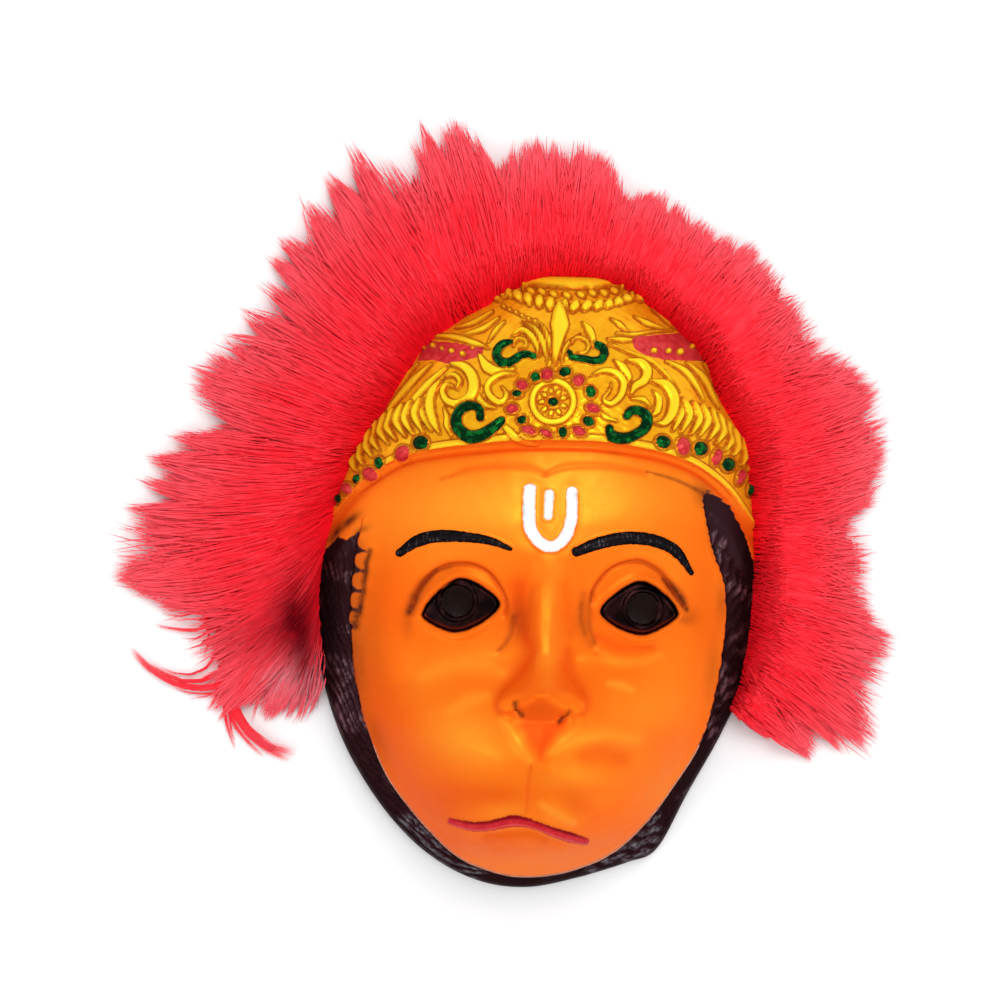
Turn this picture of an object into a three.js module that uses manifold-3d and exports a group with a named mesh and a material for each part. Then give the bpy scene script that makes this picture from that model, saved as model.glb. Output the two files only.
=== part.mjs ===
// A monkey-faced festival mask, moulded as one thin plastic shell with its crown, brows and
// beard fringe, and a strip of long red faux fur that is glued along the crown's edge.
// Millimetres. The mask lies on its rim, face up: +X is to the right and +Y is up on the face,
// and +Z is the way the face looks. Outlines are drawn on the plane of the rim, and what
// stands higher is drawn in towards the middle by DRAW_IN for each millimetre of height.
import * as THREE from "three";
import Module from "manifold-3d";
import { mergeVertices } from "three/addons/utils/BufferGeometryUtils.js";

const wasm = await Module();
wasm.setup();

// Driving dimensions
const DOME_HEIGHT = 70;
const DOME_POWER = 2.5;
const WALL = 2.3;
const DRAW_IN = 1 / 1100;
const MUZZLE_HEIGHT = 29;
const CROWN_RISE = 3;
const SOCKET_DEPTH = 6.5;
const BALL_SET_BACK = 3.4;
const BALL_SWELL = 3;
const EYE_HOLE_RADIUS = 6;
const LID_HALF = 2;
const FUR_GAP = 0.5;
const FUR_HEIGHT = 30;
const TUFT_DEPTH = 8;
const TUFT_CHANGE = 0.37;
const PARTING = 0.84;

// How finely each surface is faceted
const COLUMNS = 32;
const ROWS = 38;
const INNER_COLUMNS = 18;
const INNER_ROWS = 22;
const CROWN_FROM = 0.44;
const CURVE_STEPS = 6;
const PLACE_STEPS = 8;
const STUD_SIDES = 5;
const STUD_TOP = 0.62;
const SIMPLIFY = 0.2;
// How deep what is raised beds in the surface, and how far a groove's cutter stands clear
const BEDDING = 1.5;
const GROOVE_CLEAR = 1.5;
// How far the cutter of the inside reaches down past the rim
const HOLLOW_DROP = 5;

// The middle that outlines are measured round, and the line that the crown is mirrored about
const CENTRE = [16.4, -36.9];
const CROWN_AXIS = 21.3;

const RIM = [
  [28.3, 92.7], [49.6, 89.8], [59.5, 83.6], [75.9, 69.7], [83.6, 61.5], [91, 43.1],
  [100, 27.1], [103.7, 8.2], [105.4, -16.4], [105, -45.1], [100, -73.8], [91, -95.1],
  [77.1, -119.7], [64.4, -142.7], [52.5, -148.4], [30.8, -155], [10.3, -158.7],
  [-9.4, -155.8], [-28.7, -145.6], [-45.9, -128.7], [-61.5, -104.6], [-70.9, -80],
  [-75.4, -53.3], [-75, -28.7], [-69.3, -4.9], [-63.1, 14.8], [-51.3, 33.6],
  [-39.4, 52.5], [-32.4, 64.4], [-19.3, 74.2], [-4.9, 82.4], [8.6, 89.8],
];
// Where the orange face meets the black fringe, from the left temple round the chin
const JAW = [
  [-55.4, -8.2], [-59, -28.7], [-59.9, -50], [-58.6, -70.1], [-54.1, -91], [-47.2, -109.9],
  [-36.1, -126.3], [-19.3, -143.9], [-4.1, -151.3], [10.3, -153.8], [28.7, -151.3],
  [45.9, -143.9], [59.5, -131.6], [70.9, -116.4], [80.8, -100.5], [86.1, -84.1],
  [89.8, -65.2], [91.8, -47.2], [90.6, -32.8], [86.1, -19.7], [81.6, 2.5],
];
// The crown's lower edge, from left to right
const CROWN_EDGE = [
  [-69, -6.6], [-57, 7], [-40.6, 17.2], [-25.4, 20.9], [-8, 23], [8.2, 24.4], [30.9, 24.4],
  [43.5, 23.6], [56.2, 21.7], [68.5, 18.9], [81.2, 13.5], [93.7, 3.3], [104, -12],
];
const JAW_LOWER = JAW.slice(4, 15);
const MUZZLE_TOP = [
  [80.8, -84], [65.6, -70], [41, -64], [16.4, -62.3], [-12.3, -64.8], [-41, -74], [-53, -84],
];
const MUZZLE_CENTRE = [13.5, -110.7];
const EYES = [{ at: [-16.8, -43.1], side: -1 }, { at: [57.8, -44.3], side: 1 }];
const EYE_TILT = -0.05;
const EYE_HOLES = [[-17.4, -41.4], [58.6, -44.5]];
// The opening of the right-hand eye, from the eye's middle
const EYE_OPENING = [
  [15.8, -3.1], [9.8, 5.6], [-0.4, 11.5], [-11.5, 6.4], [-17.2, -0.9], [-9.8, -8], [0.8, -11.5],
  [10.3, -8.2],
];
const NOSE = { top: [19.7, -30.8], tip: [17.2, -79], height: 13, width: [4.5, 11] };
const NOSTRILS = [[6.6, -85.7], [26.7, -88.2]];
const NOSE_WINGS = [[2.9, -82.8], [31.6, -83.6]];

const mix = (from, to, share) => from + (to - from) * share;
const clamp = (value) => Math.min(1, Math.max(0, value));
const easeBetween = (low, high, value) => {
  const share = clamp((value - low) / (high - low));
  return share * share * (3 - 2 * share);
};
const bell = (dx, dy, spreadX, spreadY) => Math.exp(-((dx / spreadX) ** 2) - (dy / spreadY) ** 2);

function smoothCurve(points, closed = false) {
  const corners = points.map(([x, y]) => new THREE.Vector3(x, y, 0));
  const curve = new THREE.CatmullRomCurve3(corners, closed, "catmullrom", 0.5);
  const spans = points.length - (closed ? 0 : 1);
  return curve.getPoints(spans * CURVE_STEPS).map((p) => [p.x, p.y]);
}

// The distance from centre to a closed outline, as a function of the angle
function polarRadius(points, centre) {
  const samples = smoothCurve(points, true).map(([x, y]) => [
    Math.atan2(y - centre[1], x - centre[0]),
    Math.hypot(x - centre[0], y - centre[1]),
  ]);
  samples.sort((p, q) => p[0] - q[0]);
  const first = samples[0];
  const last = samples[samples.length - 1];
  const ring = [[last[0] - 2 * Math.PI, last[1]], ...samples, [first[0] + 2 * Math.PI, first[1]]];
  return (angle) => {
    const turned = Math.atan2(Math.sin(angle), Math.cos(angle));
    const next = Math.max(1, ring.findIndex(([a]) => a > turned));
    const [a0, r0] = ring[next - 1];
    const [a1, r1] = ring[next];
    return mix(r0, r1, (turned - a0) / (a1 - a0));
  };
}

// Points given as offsets from the crown's axis, on one side of it
const onSide = (side, points) => points.map(([x, y]) => [CROWN_AXIS + side * x, y]);

const rimRadius = polarRadius(RIM, CENTRE);
const ROUNDING = 0.2;
const softRimRadius = (angle) =>
  (rimRadius(angle - ROUNDING) + rimRadius(angle) + rimRadius(angle + ROUNDING)) / 3;
const faceRadius = polarRadius(
  [...JAW, ...CROWN_EDGE.slice(1, -2).reverse().map(([x, y]) => [x, y - 10])], CENTRE);
const muzzleRadius = polarRadius([...JAW_LOWER, ...MUZZLE_TOP], MUZZLE_CENTRE);
const crownEdge = smoothCurve(CROWN_EDGE);

// How far a point lies above the crown's lower edge
function aboveCrownEdge(x, y) {
  const found = crownEdge.findIndex((p) => p[0] > x);
  const next = found < 0 ? crownEdge.length - 1 : Math.max(1, found);
  const [x0, y0] = crownEdge[next - 1];
  const [x1, y1] = crownEdge[next];
  const rise = (y1 - y0) / (x1 - x0);
  return (y - y0 - rise * (x - x0)) / Math.hypot(1, rise);
}

// The muzzle swells out of the face, with a steep edge at the chin and a soft one above
function muzzle(x, y) {
  const dx = x - MUZZLE_CENTRE[0];
  const dy = y - MUZZLE_CENTRE[1];
  const share = Math.hypot(dx, dy) / muzzleRadius(Math.atan2(dy, dx));
  const softness = mix(0.45, 1.7, easeBetween(-30, 30, dy));
  return share < 1 ? MUZZLE_HEIGHT * (1 - share * share) ** softness : 0;
}

function nose(x, y) {
  const along = (NOSE.top[1] - y) / (NOSE.top[1] - NOSE.tip[1]);
  const share = clamp(along);
  const middle = mix(NOSE.top[0], NOSE.tip[0], share);
  const width = mix(NOSE.width[0], NOSE.width[1], share ** 1.5);
  const rise = 1.5 + (NOSE.height - 1.5) * share ** 1.4;
  const ends = easeBetween(-0.35, 0, along) * (1 - easeBetween(1.0, 1.26, along));
  const wings = NOSE_WINGS.reduce((sum, [wx, wy]) => sum + 5 * bell(x - wx, y - wy, 6.5, 6), 0);
  const nostrils = NOSTRILS.reduce((sum, [nx, ny]) => sum + 3.5 * bell(x - nx, y - ny, 3, 2.2), 0);
  return rise * ends * Math.exp(-(((x - middle) / width) ** 2)) + wings - nostrils;
}

const eyeShapes = EYES.map(({ at, side }) => {
  const place = ([dx, dy]) => [at[0] + side * dx, at[1] + dy - side * dx * EYE_TILT];
  const opening = EYE_OPENING.map(place);
  return { at, opening, edge: polarRadius(opening, at) };
});

// Each eye is a shallow socket, and its ball is set back from the lids
function eyes(x, y) {
  let height = 0;
  for (const { at, edge } of eyeShapes) {
    const dx = x - at[0];
    const dy = y - at[1];
    const outside = Math.hypot(dx, dy) - edge(Math.atan2(dy, dx));
    height -= SOCKET_DEPTH * bell(dx, dy, 24, 18);
    height -= BALL_SET_BACK * (1 - easeBetween(-2, 1, outside));
    height += BALL_SWELL * clamp(1 - (dx * dx + dy * dy) / 15 ** 2);
  }
  return height;
}

// Soft hollows and swellings of the cheeks, the brow and the lip
const FACE_FORMS = [
  { at: [43, -103.5], spread: [18, 6], height: -2.4 },
  { at: [-18, -80], spread: [12, 12], height: 2 },
  { at: [62, -76], spread: [14, 12], height: 2 },
  { at: [16, -98], spread: [5, 9], height: -2.5 },
  { at: [14, -122], spread: [3, 9], height: -1.8 },
  { at: [17, -22], spread: [34, 9], height: 1.5 },
  { at: [8, -141], spread: [24, 6], height: 1.8 },
];
const faceForms = (x, y) =>
  FACE_FORMS.reduce(
    (sum, { at, spread, height }) => sum + height * bell(x - at[0], y - at[1], ...spread), 0);

// The crown stands a little above the forehead
const crownBody = (x, y) => CROWN_RISE * easeBetween(-3, 3, aboveCrownEdge(x, y));

// Locks of the moulded beard fringe, which runs from temple to temple under the chin
const LOCKS = { count: 74, lean: 0.22, height: 0.9 };
function fringe(x, y, share) {
  const dx = x - CENTRE[0];
  const dy = y - CENTRE[1];
  const angle = Math.atan2(dy, dx);
  const outside = Math.hypot(dx, dy) - faceRadius(angle);
  const beard = easeBetween(0, 2.5, outside) * (1 - easeBetween(-14, -10, aboveCrownEdge(x, y)));
  const lock = Math.abs(Math.sin((LOCKS.count * (angle + LOCKS.lean * share)) / 2));
  return beard * (LOCKS.height * lock - 1.6);
}

// The dome that everything else stands on, over the share of the way from middle to rim
const domeHeight = (share) => DOME_HEIGHT * Math.sqrt(Math.max(0, 1 - share ** DOME_POWER));

// A place on the mask, by its angle and its share of the way out
function planPoint(angle, share) {
  const soft = softRimRadius(angle);
  const radius = share * mix(soft, rimRadius(angle), share ** 6);
  return [CENTRE[0] + radius * Math.cos(angle), CENTRE[1] + radius * Math.sin(angle)];
}
const drawnIn = (x, y, z) => new THREE.Vector3(x * (1 - z * DRAW_IN), y * (1 - z * DRAW_IN), z);

function formPoint(angle, share) {
  const [x, y] = planPoint(angle, share);
  const forms = muzzle(x, y) + nose(x, y) + eyes(x, y) + faceForms(x, y) + crownBody(x, y);
  const z = (domeHeight(share) + forms * (1 - share ** 14)) * (share >= 1 ? 0 : 1);
  return drawnIn(x, y, z);
}

// The surface's own outward direction, from two short steps along it
function normalAt(angle, share, pointAt) {
  const step = 0.004;
  const inner = Math.max(2 * step, Math.min(share, 1 - step));
  const radial = pointAt(angle, inner + step).sub(pointAt(angle, inner - step));
  const turning = pointAt(angle + step, inner).sub(pointAt(angle - step, inner));
  return radial.cross(turning).normalize();
}

// What stands on the form settles into it towards the rim, so the rim's outline stays true
function raisedPoint(angle, share, lift) {
  const settle = lift > 0 ? 1 - easeBetween(0.92, 1, share) : 1;
  const normal = normalAt(angle, share, formPoint);
  return formPoint(angle, share).addScaledVector(normal, lift * settle);
}
function outerPoint(angle, share) {
  const [x, y] = planPoint(angle, share);
  return raisedPoint(angle, share, fringe(x, y, share) * (1 - easeBetween(0.96, 1, share)));
}

// The inside is the plain form, a wall's thickness in, and it ends on the rim's plane
function innerPoint(angle, share) {
  const normal = normalAt(angle, share, formPoint);
  const point = formPoint(angle, share).addScaledVector(normal, -WALL);
  if (share < 1) return point;
  const [x, y] = planPoint(angle, 1);
  const flat = new THREE.Vector3(normal.x, normal.y, 0).normalize();
  return new THREE.Vector3(x, y, 0).addScaledVector(flat, -WALL);
}

// A square's grid laid on a disc, then spread so that the steep sides get rows of their own
function discPlace(across, up) {
  const u = across * Math.sqrt(1 - (up * up) / 2);
  const v = up * Math.sqrt(1 - (across * across) / 2);
  const even = Math.min(1, Math.hypot(u, v));
  const wall = 0.8;
  const ease = 1 / (wall * 2 * (1 - wall) + (1 - wall) ** 2);
  const share = even < wall ? 2 * (1 - wall) * ease * even : 1 - ease * (1 - even) ** 2;
  return [Math.atan2(v, u), share];
}

// Rows lie closer together over the face than over the crown, whose carving is added to it
const CROWN_SHARE = 0.2;
function rowPlace(share) {
  const turn = 1 - CROWN_SHARE;
  return share < turn
    ? mix(-1, CROWN_FROM, share / turn)
    : mix(CROWN_FROM, 1, (share - turn) / (1 - turn));
}

function gridPoints(columns, rows, pointAt) {
  const points = [];
  for (let j = 0; j <= rows; j++)
    for (let i = 0; i <= columns; i++) {
      const onEdge = i === 0 || j === 0 || i === columns || j === rows;
      const [angle, share] = discPlace((2 * i) / columns - 1, rowPlace(j / rows));
      points.push(pointAt(angle, onEdge ? 1 : share));
    }
  return points;
}

// A cell becomes two triangles, cut along its shorter diagonal
function gridFaces(points, columns, rows) {
  const faces = [];
  for (let j = 0; j < rows; j++)
    for (let i = 0; i < columns; i++) {
      const a = j * (columns + 1) + i;
      const [b, c, d] = [a + 1, a + columns + 2, a + columns + 1];
      if (points[a].distanceTo(points[c]) < points[b].distanceTo(points[d])) {
        faces.push([a, b, c], [a, c, d]);
      } else {
        faces.push([a, b, d], [b, c, d]);
      }
    }
  return faces;
}

// The grid's edge, anticlockwise from its lower left corner
function gridEdge(columns, rows) {
  const at = (i, j) => j * (columns + 1) + i;
  const edge = [];
  for (let i = 0; i < columns; i++) edge.push(at(i, 0));
  for (let j = 0; j < rows; j++) edge.push(at(columns, j));
  for (let i = columns; i > 0; i--) edge.push(at(i, rows));
  for (let j = rows; j > 0; j--) edge.push(at(0, j));
  return edge;
}

function geometryOf(points, faces) {
  const geometry = new THREE.BufferGeometry();
  geometry.setAttribute(
    "position", new THREE.Float32BufferAttribute(points.flatMap((p) => [p.x, p.y, p.z]), 3));
  geometry.setIndex(faces.flat());
  return geometry;
}

function manifoldOf(source) {
  const geometry = source.clone();
  geometry.deleteAttribute("normal");
  geometry.deleteAttribute("uv");
  const merged = mergeVertices(geometry, 1e-4);
  return new wasm.Manifold(
    new wasm.Mesh({
      numProp: 3,
      vertProperties: new Float32Array(merged.attributes.position.array),
      triVerts: new Uint32Array(merged.index.array),
    }),
  );
}

function geometryFrom(solid) {
  const { vertProperties, triVerts } = solid.getMesh();
  const geometry = new THREE.BufferGeometry();
  geometry.setAttribute("position", new THREE.Float32BufferAttribute(vertProperties, 3));
  geometry.setIndex(new THREE.BufferAttribute(triVerts, 1));
  geometry.computeVertexNormals();
  return geometry;
}

// A domed body over a grid's edge, closed by a flat face that lies drop below that edge
function domedBody(columns, rows, pointAt, drop) {
  const points = gridPoints(columns, rows, pointAt);
  const faces = gridFaces(points, columns, rows);
  const edge = gridEdge(columns, rows);
  const first = points.length;
  for (const index of edge) {
    const { x, y, z } = points[index];
    points.push(new THREE.Vector3(x, y, z - drop));
  }
  points.push(new THREE.Vector3(...CENTRE, -drop));
  const hub = points.length - 1;
  edge.forEach((here, k) => {
    const after = (k + 1) % edge.length;
    const [low, lowNext] = [first + k, first + after];
    if (drop) faces.push([here, low, lowNext], [here, lowNext, edge[after]]);
    faces.push(drop ? [low, hub, lowNext] : [here, hub, edge[after]]);
  });
  return manifoldOf(geometryOf(points, faces));
}

// Rings of points joined into a closed solid, each ring anticlockwise seen from the next one
function sweep(rings, closed = false) {
  const sides = rings[0].length;
  const count = rings.length;
  const faces = [];
  for (let i = 0; i < (closed ? count : count - 1); i++)
    for (let k = 0; k < sides; k++) {
      const next = (k + 1) % sides;
      const [here, there] = [i * sides, ((i + 1) % count) * sides];
      faces.push([here + k, here + next, there + next], [here + k, there + next, there + k]);
    }
  const last = (count - 1) * sides;
  for (let k = 1; k + 1 < sides && !closed; k++)
    faces.push([0, k + 1, k], [last, last + k, last + k + 1]);
  return manifoldOf(geometryOf(rings.flat(), faces));
}

// The angle and the share of the way out of a point that is drawn on the plane of the rim
function placeOf(x, y) {
  const angle = Math.atan2(y - CENTRE[1], x - CENTRE[0]);
  const radius = Math.hypot(x - CENTRE[0], y - CENTRE[1]);
  const [soft, rim] = [softRimRadius(angle), rimRadius(angle)];
  let share = radius / soft;
  for (let i = 0; i < PLACE_STEPS; i++) share = radius / mix(soft, rim, Math.min(1, share) ** 6);
  return [angle, Math.min(share, 0.995)];
}
function onSurface(x, y, lift) {
  const [angle, share] = placeOf(x, y);
  return raisedPoint(angle, share, lift);
}

// A line that follows the surface: section gives the places of its corners, across and up
function lineSolid({ points, half, section, closed = false, density = 1 }) {
  const corners = points.map(([x, y]) => new THREE.Vector3(x, y, 0));
  const curve = new THREE.CatmullRomCurve3(corners, closed, "catmullrom", 0.5);
  const spans = Math.round(density * (points.length - (closed ? 0 : 1)));
  const rings = [];
  for (let i = 0; i < spans + (closed ? 0 : 1); i++) {
    const share = i / spans;
    const at = curve.getPoint(share);
    const along = curve.getTangent(share);
    const place = share * (half.length - 1);
    const index = Math.max(0, Math.min(half.length - 2, Math.floor(place)));
    const width = half.length > 1 ? mix(half[index], half[index + 1], place - index) : half[0];
    rings.push(section(share).map(([out, lift]) =>
      onSurface(at.x - along.y * width * out, at.y + along.x * width * out, lift)));
  }
  return sweep(rings, closed);
}

// A ridge has its foot bedded in the surface, and an open one is lower at its ends
const endDrop = (share) => 0.4 + 0.6 * Math.sqrt(Math.sin(Math.PI * share));
function ridge({ points, half, height, closed = false, density = 1 }) {
  const section = (share) => {
    const top = height * (closed ? 1 : endDrop(share));
    return [[1, -BEDDING], [0.5, top], [-0.5, top], [-1, -BEDDING]];
  };
  return lineSolid({ points, half, section, closed, density });
}
// A blade is a ridge that comes to an edge
function blade({ points, half, height }) {
  const section = (share) => [[1, -BEDDING], [0, height * endDrop(share)], [-1, -BEDDING]];
  return lineSolid({ points, half, section });
}

// A groove's cutter is narrow at its bottom and stands clear of the surface
function groove({ points, half, depth }) {
  const section = () => [[-1.5, GROOVE_CLEAR], [-0.4, -depth], [0.4, -depth], [1.5, GROOVE_CLEAR]];
  return lineSolid({ points, half, section });
}

// A round-topped stud, such as a gem or a bead
function stud({ at: [x, y], radius, height }) {
  const levels = [[1, -BEDDING], [STUD_TOP, height]];
  return sweep(levels.map(([share, lift]) =>
    Array.from({ length: STUD_SIDES }, (_, k) => {
      const turn = (2 * Math.PI * k) / STUD_SIDES;
      const reach = share * radius;
      return onSurface(x + reach * Math.cos(turn), y + reach * Math.sin(turn), lift);
    })));
}

const sides = [1, -1];

// The leaf scrolls of the crown, given for one side from the crown's axis
const SCROLLS = [
  { points: [[21.3, 28.7], [25, 25.8], [31.2, 25.4], [37.3, 28.3], [39, 33.2], [35.7, 37.1],
    [31.4, 36.6], [30.5, 33.6]], half: [1.8, 2.5, 2.4, 1.6], height: 2 },
  { points: [[7.8, 59], [12.7, 58], [17.2, 56.8], [21.3, 58.6], [21.9, 62], [18.6, 64.2]],
    half: [1.7, 2, 1.9], height: 1.8 },
  { points: [[23.4, 60.7], [28.7, 58.2], [32.8, 54.1], [33.6, 49.2], [31.6, 44.7]],
    half: [1.6, 2.3, 1.4], height: 1.8 },
  { points: [[36.1, 54.1], [41, 51.3], [45.5, 46.7], [47.6, 41], [45.9, 34.4], [42.2, 33.4],
    [40.8, 37], [42.6, 40.4]], half: [1.8, 2.4, 1.6], height: 1.8 },
  { points: [[4.5, 56.6], [5.7, 62.3], [9, 68], [12.7, 70.9], [17.6, 68.6], [22.6, 64]],
    half: [1.2, 1.8, 1.2], height: 1.5 },
];
const CENTRE_LEAF = {
  points: [[22.5, 55.8], [22.9, 63.6], [23.8, 71.8], [24.2, 78]], half: [1.5, 3.4, 4.4, 1],
  height: 2.4,
};
// The rolls over and under the painted band at each side of the crown
const BAND_ROLLS = [
  { points: [[33.6, 67.2], [45, 67.6], [57.4, 65.6]], half: [1.3, 1.6, 1.3], height: 1.5 },
  { points: [[35.7, 60.3], [48, 59.6], [62.3, 56.6]], half: [1.3, 1.6, 1.3], height: 1.5 },
];
function scrolls() {
  const lines = [...SCROLLS, ...BAND_ROLLS];
  return [
    blade(CENTRE_LEAF),
    ...sides.flatMap((side) =>
      lines.map((line) => blade({ ...line, points: onSide(side, line.points) }))),
  ];
}

// A fan of short curved ribs at each side of the crown
const FLUTES_A_SIDE = 5;
function flutes() {
  return sides.flatMap((side) =>
    Array.from({ length: FLUTES_A_SIDE }, (_, i) => {
      const share = i / (FLUTES_A_SIDE - 1);
      const points = onSide(side, [
        [mix(49, 75, share), mix(45.6, 27.4, share)],
        [mix(55, 78.5, share), mix(37.6, 21.6, share)],
        [mix(52.6, 76.5, share), mix(29, 17.6, share)],
      ]);
      return blade({ points, half: [1.2, 2.2, 1.4], height: 1.8 });
    }));
}

// Gems stand in a row along the crown's edge, closer together as the crown turns away
const GEMS_A_SIDE = 6;
const GEM_STEP = 0.12;
const GEM_ROWS = [{ side: 1, first: 0.571, reach: 84 }, { side: -1, first: 0.635, reach: 89.4 }];
function gemRow() {
  const edgeAt = (x) => (crownEdge.find((p) => p[0] > x) ?? crownEdge[crownEdge.length - 1])[1];
  return GEM_ROWS.flatMap(({ side, first, reach }) =>
    Array.from({ length: GEMS_A_SIDE }, (_, i) => {
      const x = CROWN_AXIS + side * reach * Math.sin(first + i * GEM_STEP);
      return stud({ at: [x, edgeAt(x) + 4.2], radius: 3 - 0.16 * i, height: 2.2 });
    }));
}

const MEDALLION = { at: [21.7, 40], radius: 10.2, ring: [16.8, 12.7], gems: 14 };
function medallion() {
  const [cx, cy] = MEDALLION.at;
  const oval = (count, rx, ry) =>
    Array.from({ length: count }, (_, i) => {
      const angle = ((i + 0.5) * 2 * Math.PI) / count;
      return [cx + rx * Math.cos(angle), cy + ry * Math.sin(angle)];
    });
  const gems = oval(MEDALLION.gems, ...MEDALLION.ring);
  const ring = oval(12, MEDALLION.radius, MEDALLION.radius * 0.9);
  return [
    ...gems.map((at) => stud({ at, radius: 2.4, height: 2 })),
    ridge({ points: ring, half: [1.4], height: 1.6, closed: true }),
    stud({ at: MEDALLION.at, radius: 3.2, height: 2 }),
  ];
}

// The knob on top: a rope ring of round lobes, a drum behind it and a cap over the drum
const ROPE = { middle: [27.5, 83.6], radius: [28.5, 5.6], lobes: 13, half: 2.5, height: 3.4 };
const DRUM = {
  points: [[10, 84.6], [18.5, 85.2], [28, 85], [38, 85.2], [47, 83.4]], half: [2.4], height: 3,
};
const CAP = { at: [29.7, 87.6], radius: 5, height: 3.6 };
function finial() {
  const rope = Array.from({ length: ROPE.lobes }, (_, i) => {
    const angle = Math.PI * (1 + (i + 0.5) / ROPE.lobes);
    const [rx, ry] = ROPE.radius;
    const at = [ROPE.middle[0] + rx * Math.cos(angle), ROPE.middle[1] + ry * Math.sin(angle)];
    return stud({ at, radius: ROPE.half * (0.75 - 0.35 * Math.sin(angle)), height: ROPE.height });
  });
  return [...rope, ridge(DRUM), stud(CAP)];
}

// The gold edge of the crown, and the roll that runs under it across the brow
const EDGE_HALF = 2.2;
const ROLL_DROP = 7.2;
function crownBorders() {
  const lowered = (drop) => CROWN_EDGE.slice(1, -1).map(([x, y]) => [x, y - drop]);
  return [
    ridge({ points: lowered(-EDGE_HALF * 0.5), half: [EDGE_HALF], height: 1.6 }),
    ridge({ points: lowered(ROLL_DROP), half: [2.2, 2.9, 2.9, 2.2], height: 2 }),
  ];
}

const BROWS = [
  { points: [[31.2, -21.3], [41, -17.6], [52.5, -15.6], [63.6, -16.8], [72.2, -21.3],
    [78.3, -29.9]], half: [2, 2.6, 2.4, 1.2], height: 1.8 },
  { points: [[4.5, -20.1], [-4.1, -16.8], [-14.4, -15.2], [-24.6, -14.8], [-33.6, -16.8],
    [-41, -21.7]], half: [1, 2, 2.5, 2.4], height: 1.8 },
];
const FOREHEAD_MARK = [
  { points: [[12.3, 4.1], [11.9, -6.2], [13.5, -13.9], [19.7, -19], [25.8, -16.4], [29.2, -8],
    [29.5, 3.3]], half: [2.6, 2.5, 2.2], height: 1.2 },
  { points: [[20.1, 2.9], [19.7, -7]], half: [1.8, 1.9], height: 1.2 },
];
// The face ends in a low edge that stands over the fringe
const JAW_EDGE = { points: JAW, half: [1, 1.8, 1.8, 1.8, 1], height: 0.9 };
function faceLines() {
  const lids = eyeShapes.map(({ at, opening }) => {
    const points = opening.map(([x, y]) => {
      const away = 1 + LID_HALF / Math.hypot(x - at[0], y - at[1]);
      return [mix(at[0], x, away), mix(at[1], y, away)];
    });
    return { points, half: [LID_HALF], height: 1.3, closed: true, density: 1.75 };
  });
  const lines = [...FOREHEAD_MARK, ...lids];
  return [...BROWS.map(blade), blade(JAW_EDGE), ...lines.map(ridge)];
}

const MOUTH = {
  points: [[-19.7, -132], [-11.1, -134.9], [0, -132.8], [9, -131.2], [18.5, -132.4],
    [27.1, -136.9], [35.3, -140.2]], half: [1, 2, 2.4, 2.2, 1.2], depth: 1.2,
};

function eyeHole([x, y]) {
  const hole = new THREE.CylinderGeometry(EYE_HOLE_RADIUS, EYE_HOLE_RADIUS, 60, 24);
  hole.rotateX(Math.PI / 2);
  const share = 1 - 60 * DRAW_IN;
  hole.translate(x * share, y * share, 60);
  return manifoldOf(hole);
}

function maskShell() {
  const raised = [
    ...scrolls(), ...flutes(), ...gemRow(), ...medallion(), ...finial(), ...crownBorders(),
    ...faceLines(),
  ];
  const hollow = domedBody(INNER_COLUMNS, INNER_ROWS, innerPoint, HOLLOW_DROP);
  const outside = domedBody(COLUMNS, ROWS, outerPoint, 0);
  const carved = wasm.Manifold.union([outside, ...raised]);
  const holes = EYE_HOLES.map(eyeHole);
  const cut = wasm.Manifold.union([hollow, groove(MOUTH), ...holes]);
  return geometryFrom(carved.subtract(cut).simplify(SIMPLIFY));
}

// The outer reach of the fur, with its deeper partings, clockwise from its lower left end
const FUR_REACH = [
  [-112, -84], [-131, -57.4], [-147, -38], [-153, -20], [-151, -4], [-140, 10], [-129, 24],
  [-122, 41], [-112, 61], [-98, 68.5], [-97, 86], [-84, 105], [-73, 122], [-59, 137],
  [-43, 140], [-28, 151], [-15, 151], [-2, 137.5], [16, 146], [40, 141], [51, 126],
  [69, 125], [90, 108], [112, 92], [132.5, 63], [149, 48], [156, 31], [154, 10], [151, 0],
  [145, -11], [152, -25], [156.6, -55], [154.6, -78], [148.4, -102.5], [138.6, -101],
  [126.3, -103], [110.7, -97], [98.4, -88],
];
const FUR_FIRST = 3.56;
const FUR_LAST = -0.56;
// A slice of the fur, as the share of the way out and the share of its height
const FUR_SECTION = [[0, 0], [0.7, 0.02], [1, 0.14], [0.62, 0.72], [0.28, 1], [0, 0.62]];

// Each tip and notch of the reach is a slice, and the slices between them make more tufts
function furSlices() {
  const slices = [];
  FUR_REACH.forEach((tip, i) => {
    slices.push({ tip, share: i / (FUR_REACH.length - 1), depth: 0 });
    const next = FUR_REACH[i + 1];
    if (!next) return;
    const between = [mix(tip[0], next[0], 0.5), mix(tip[1], next[1], 0.5)];
    const depth = TUFT_DEPTH * (0.6 + ((i * TUFT_CHANGE) % 0.8));
    slices.push({ tip: between, share: (i + 0.5) / (FUR_REACH.length - 1), depth });
  });
  return slices;
}

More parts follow.
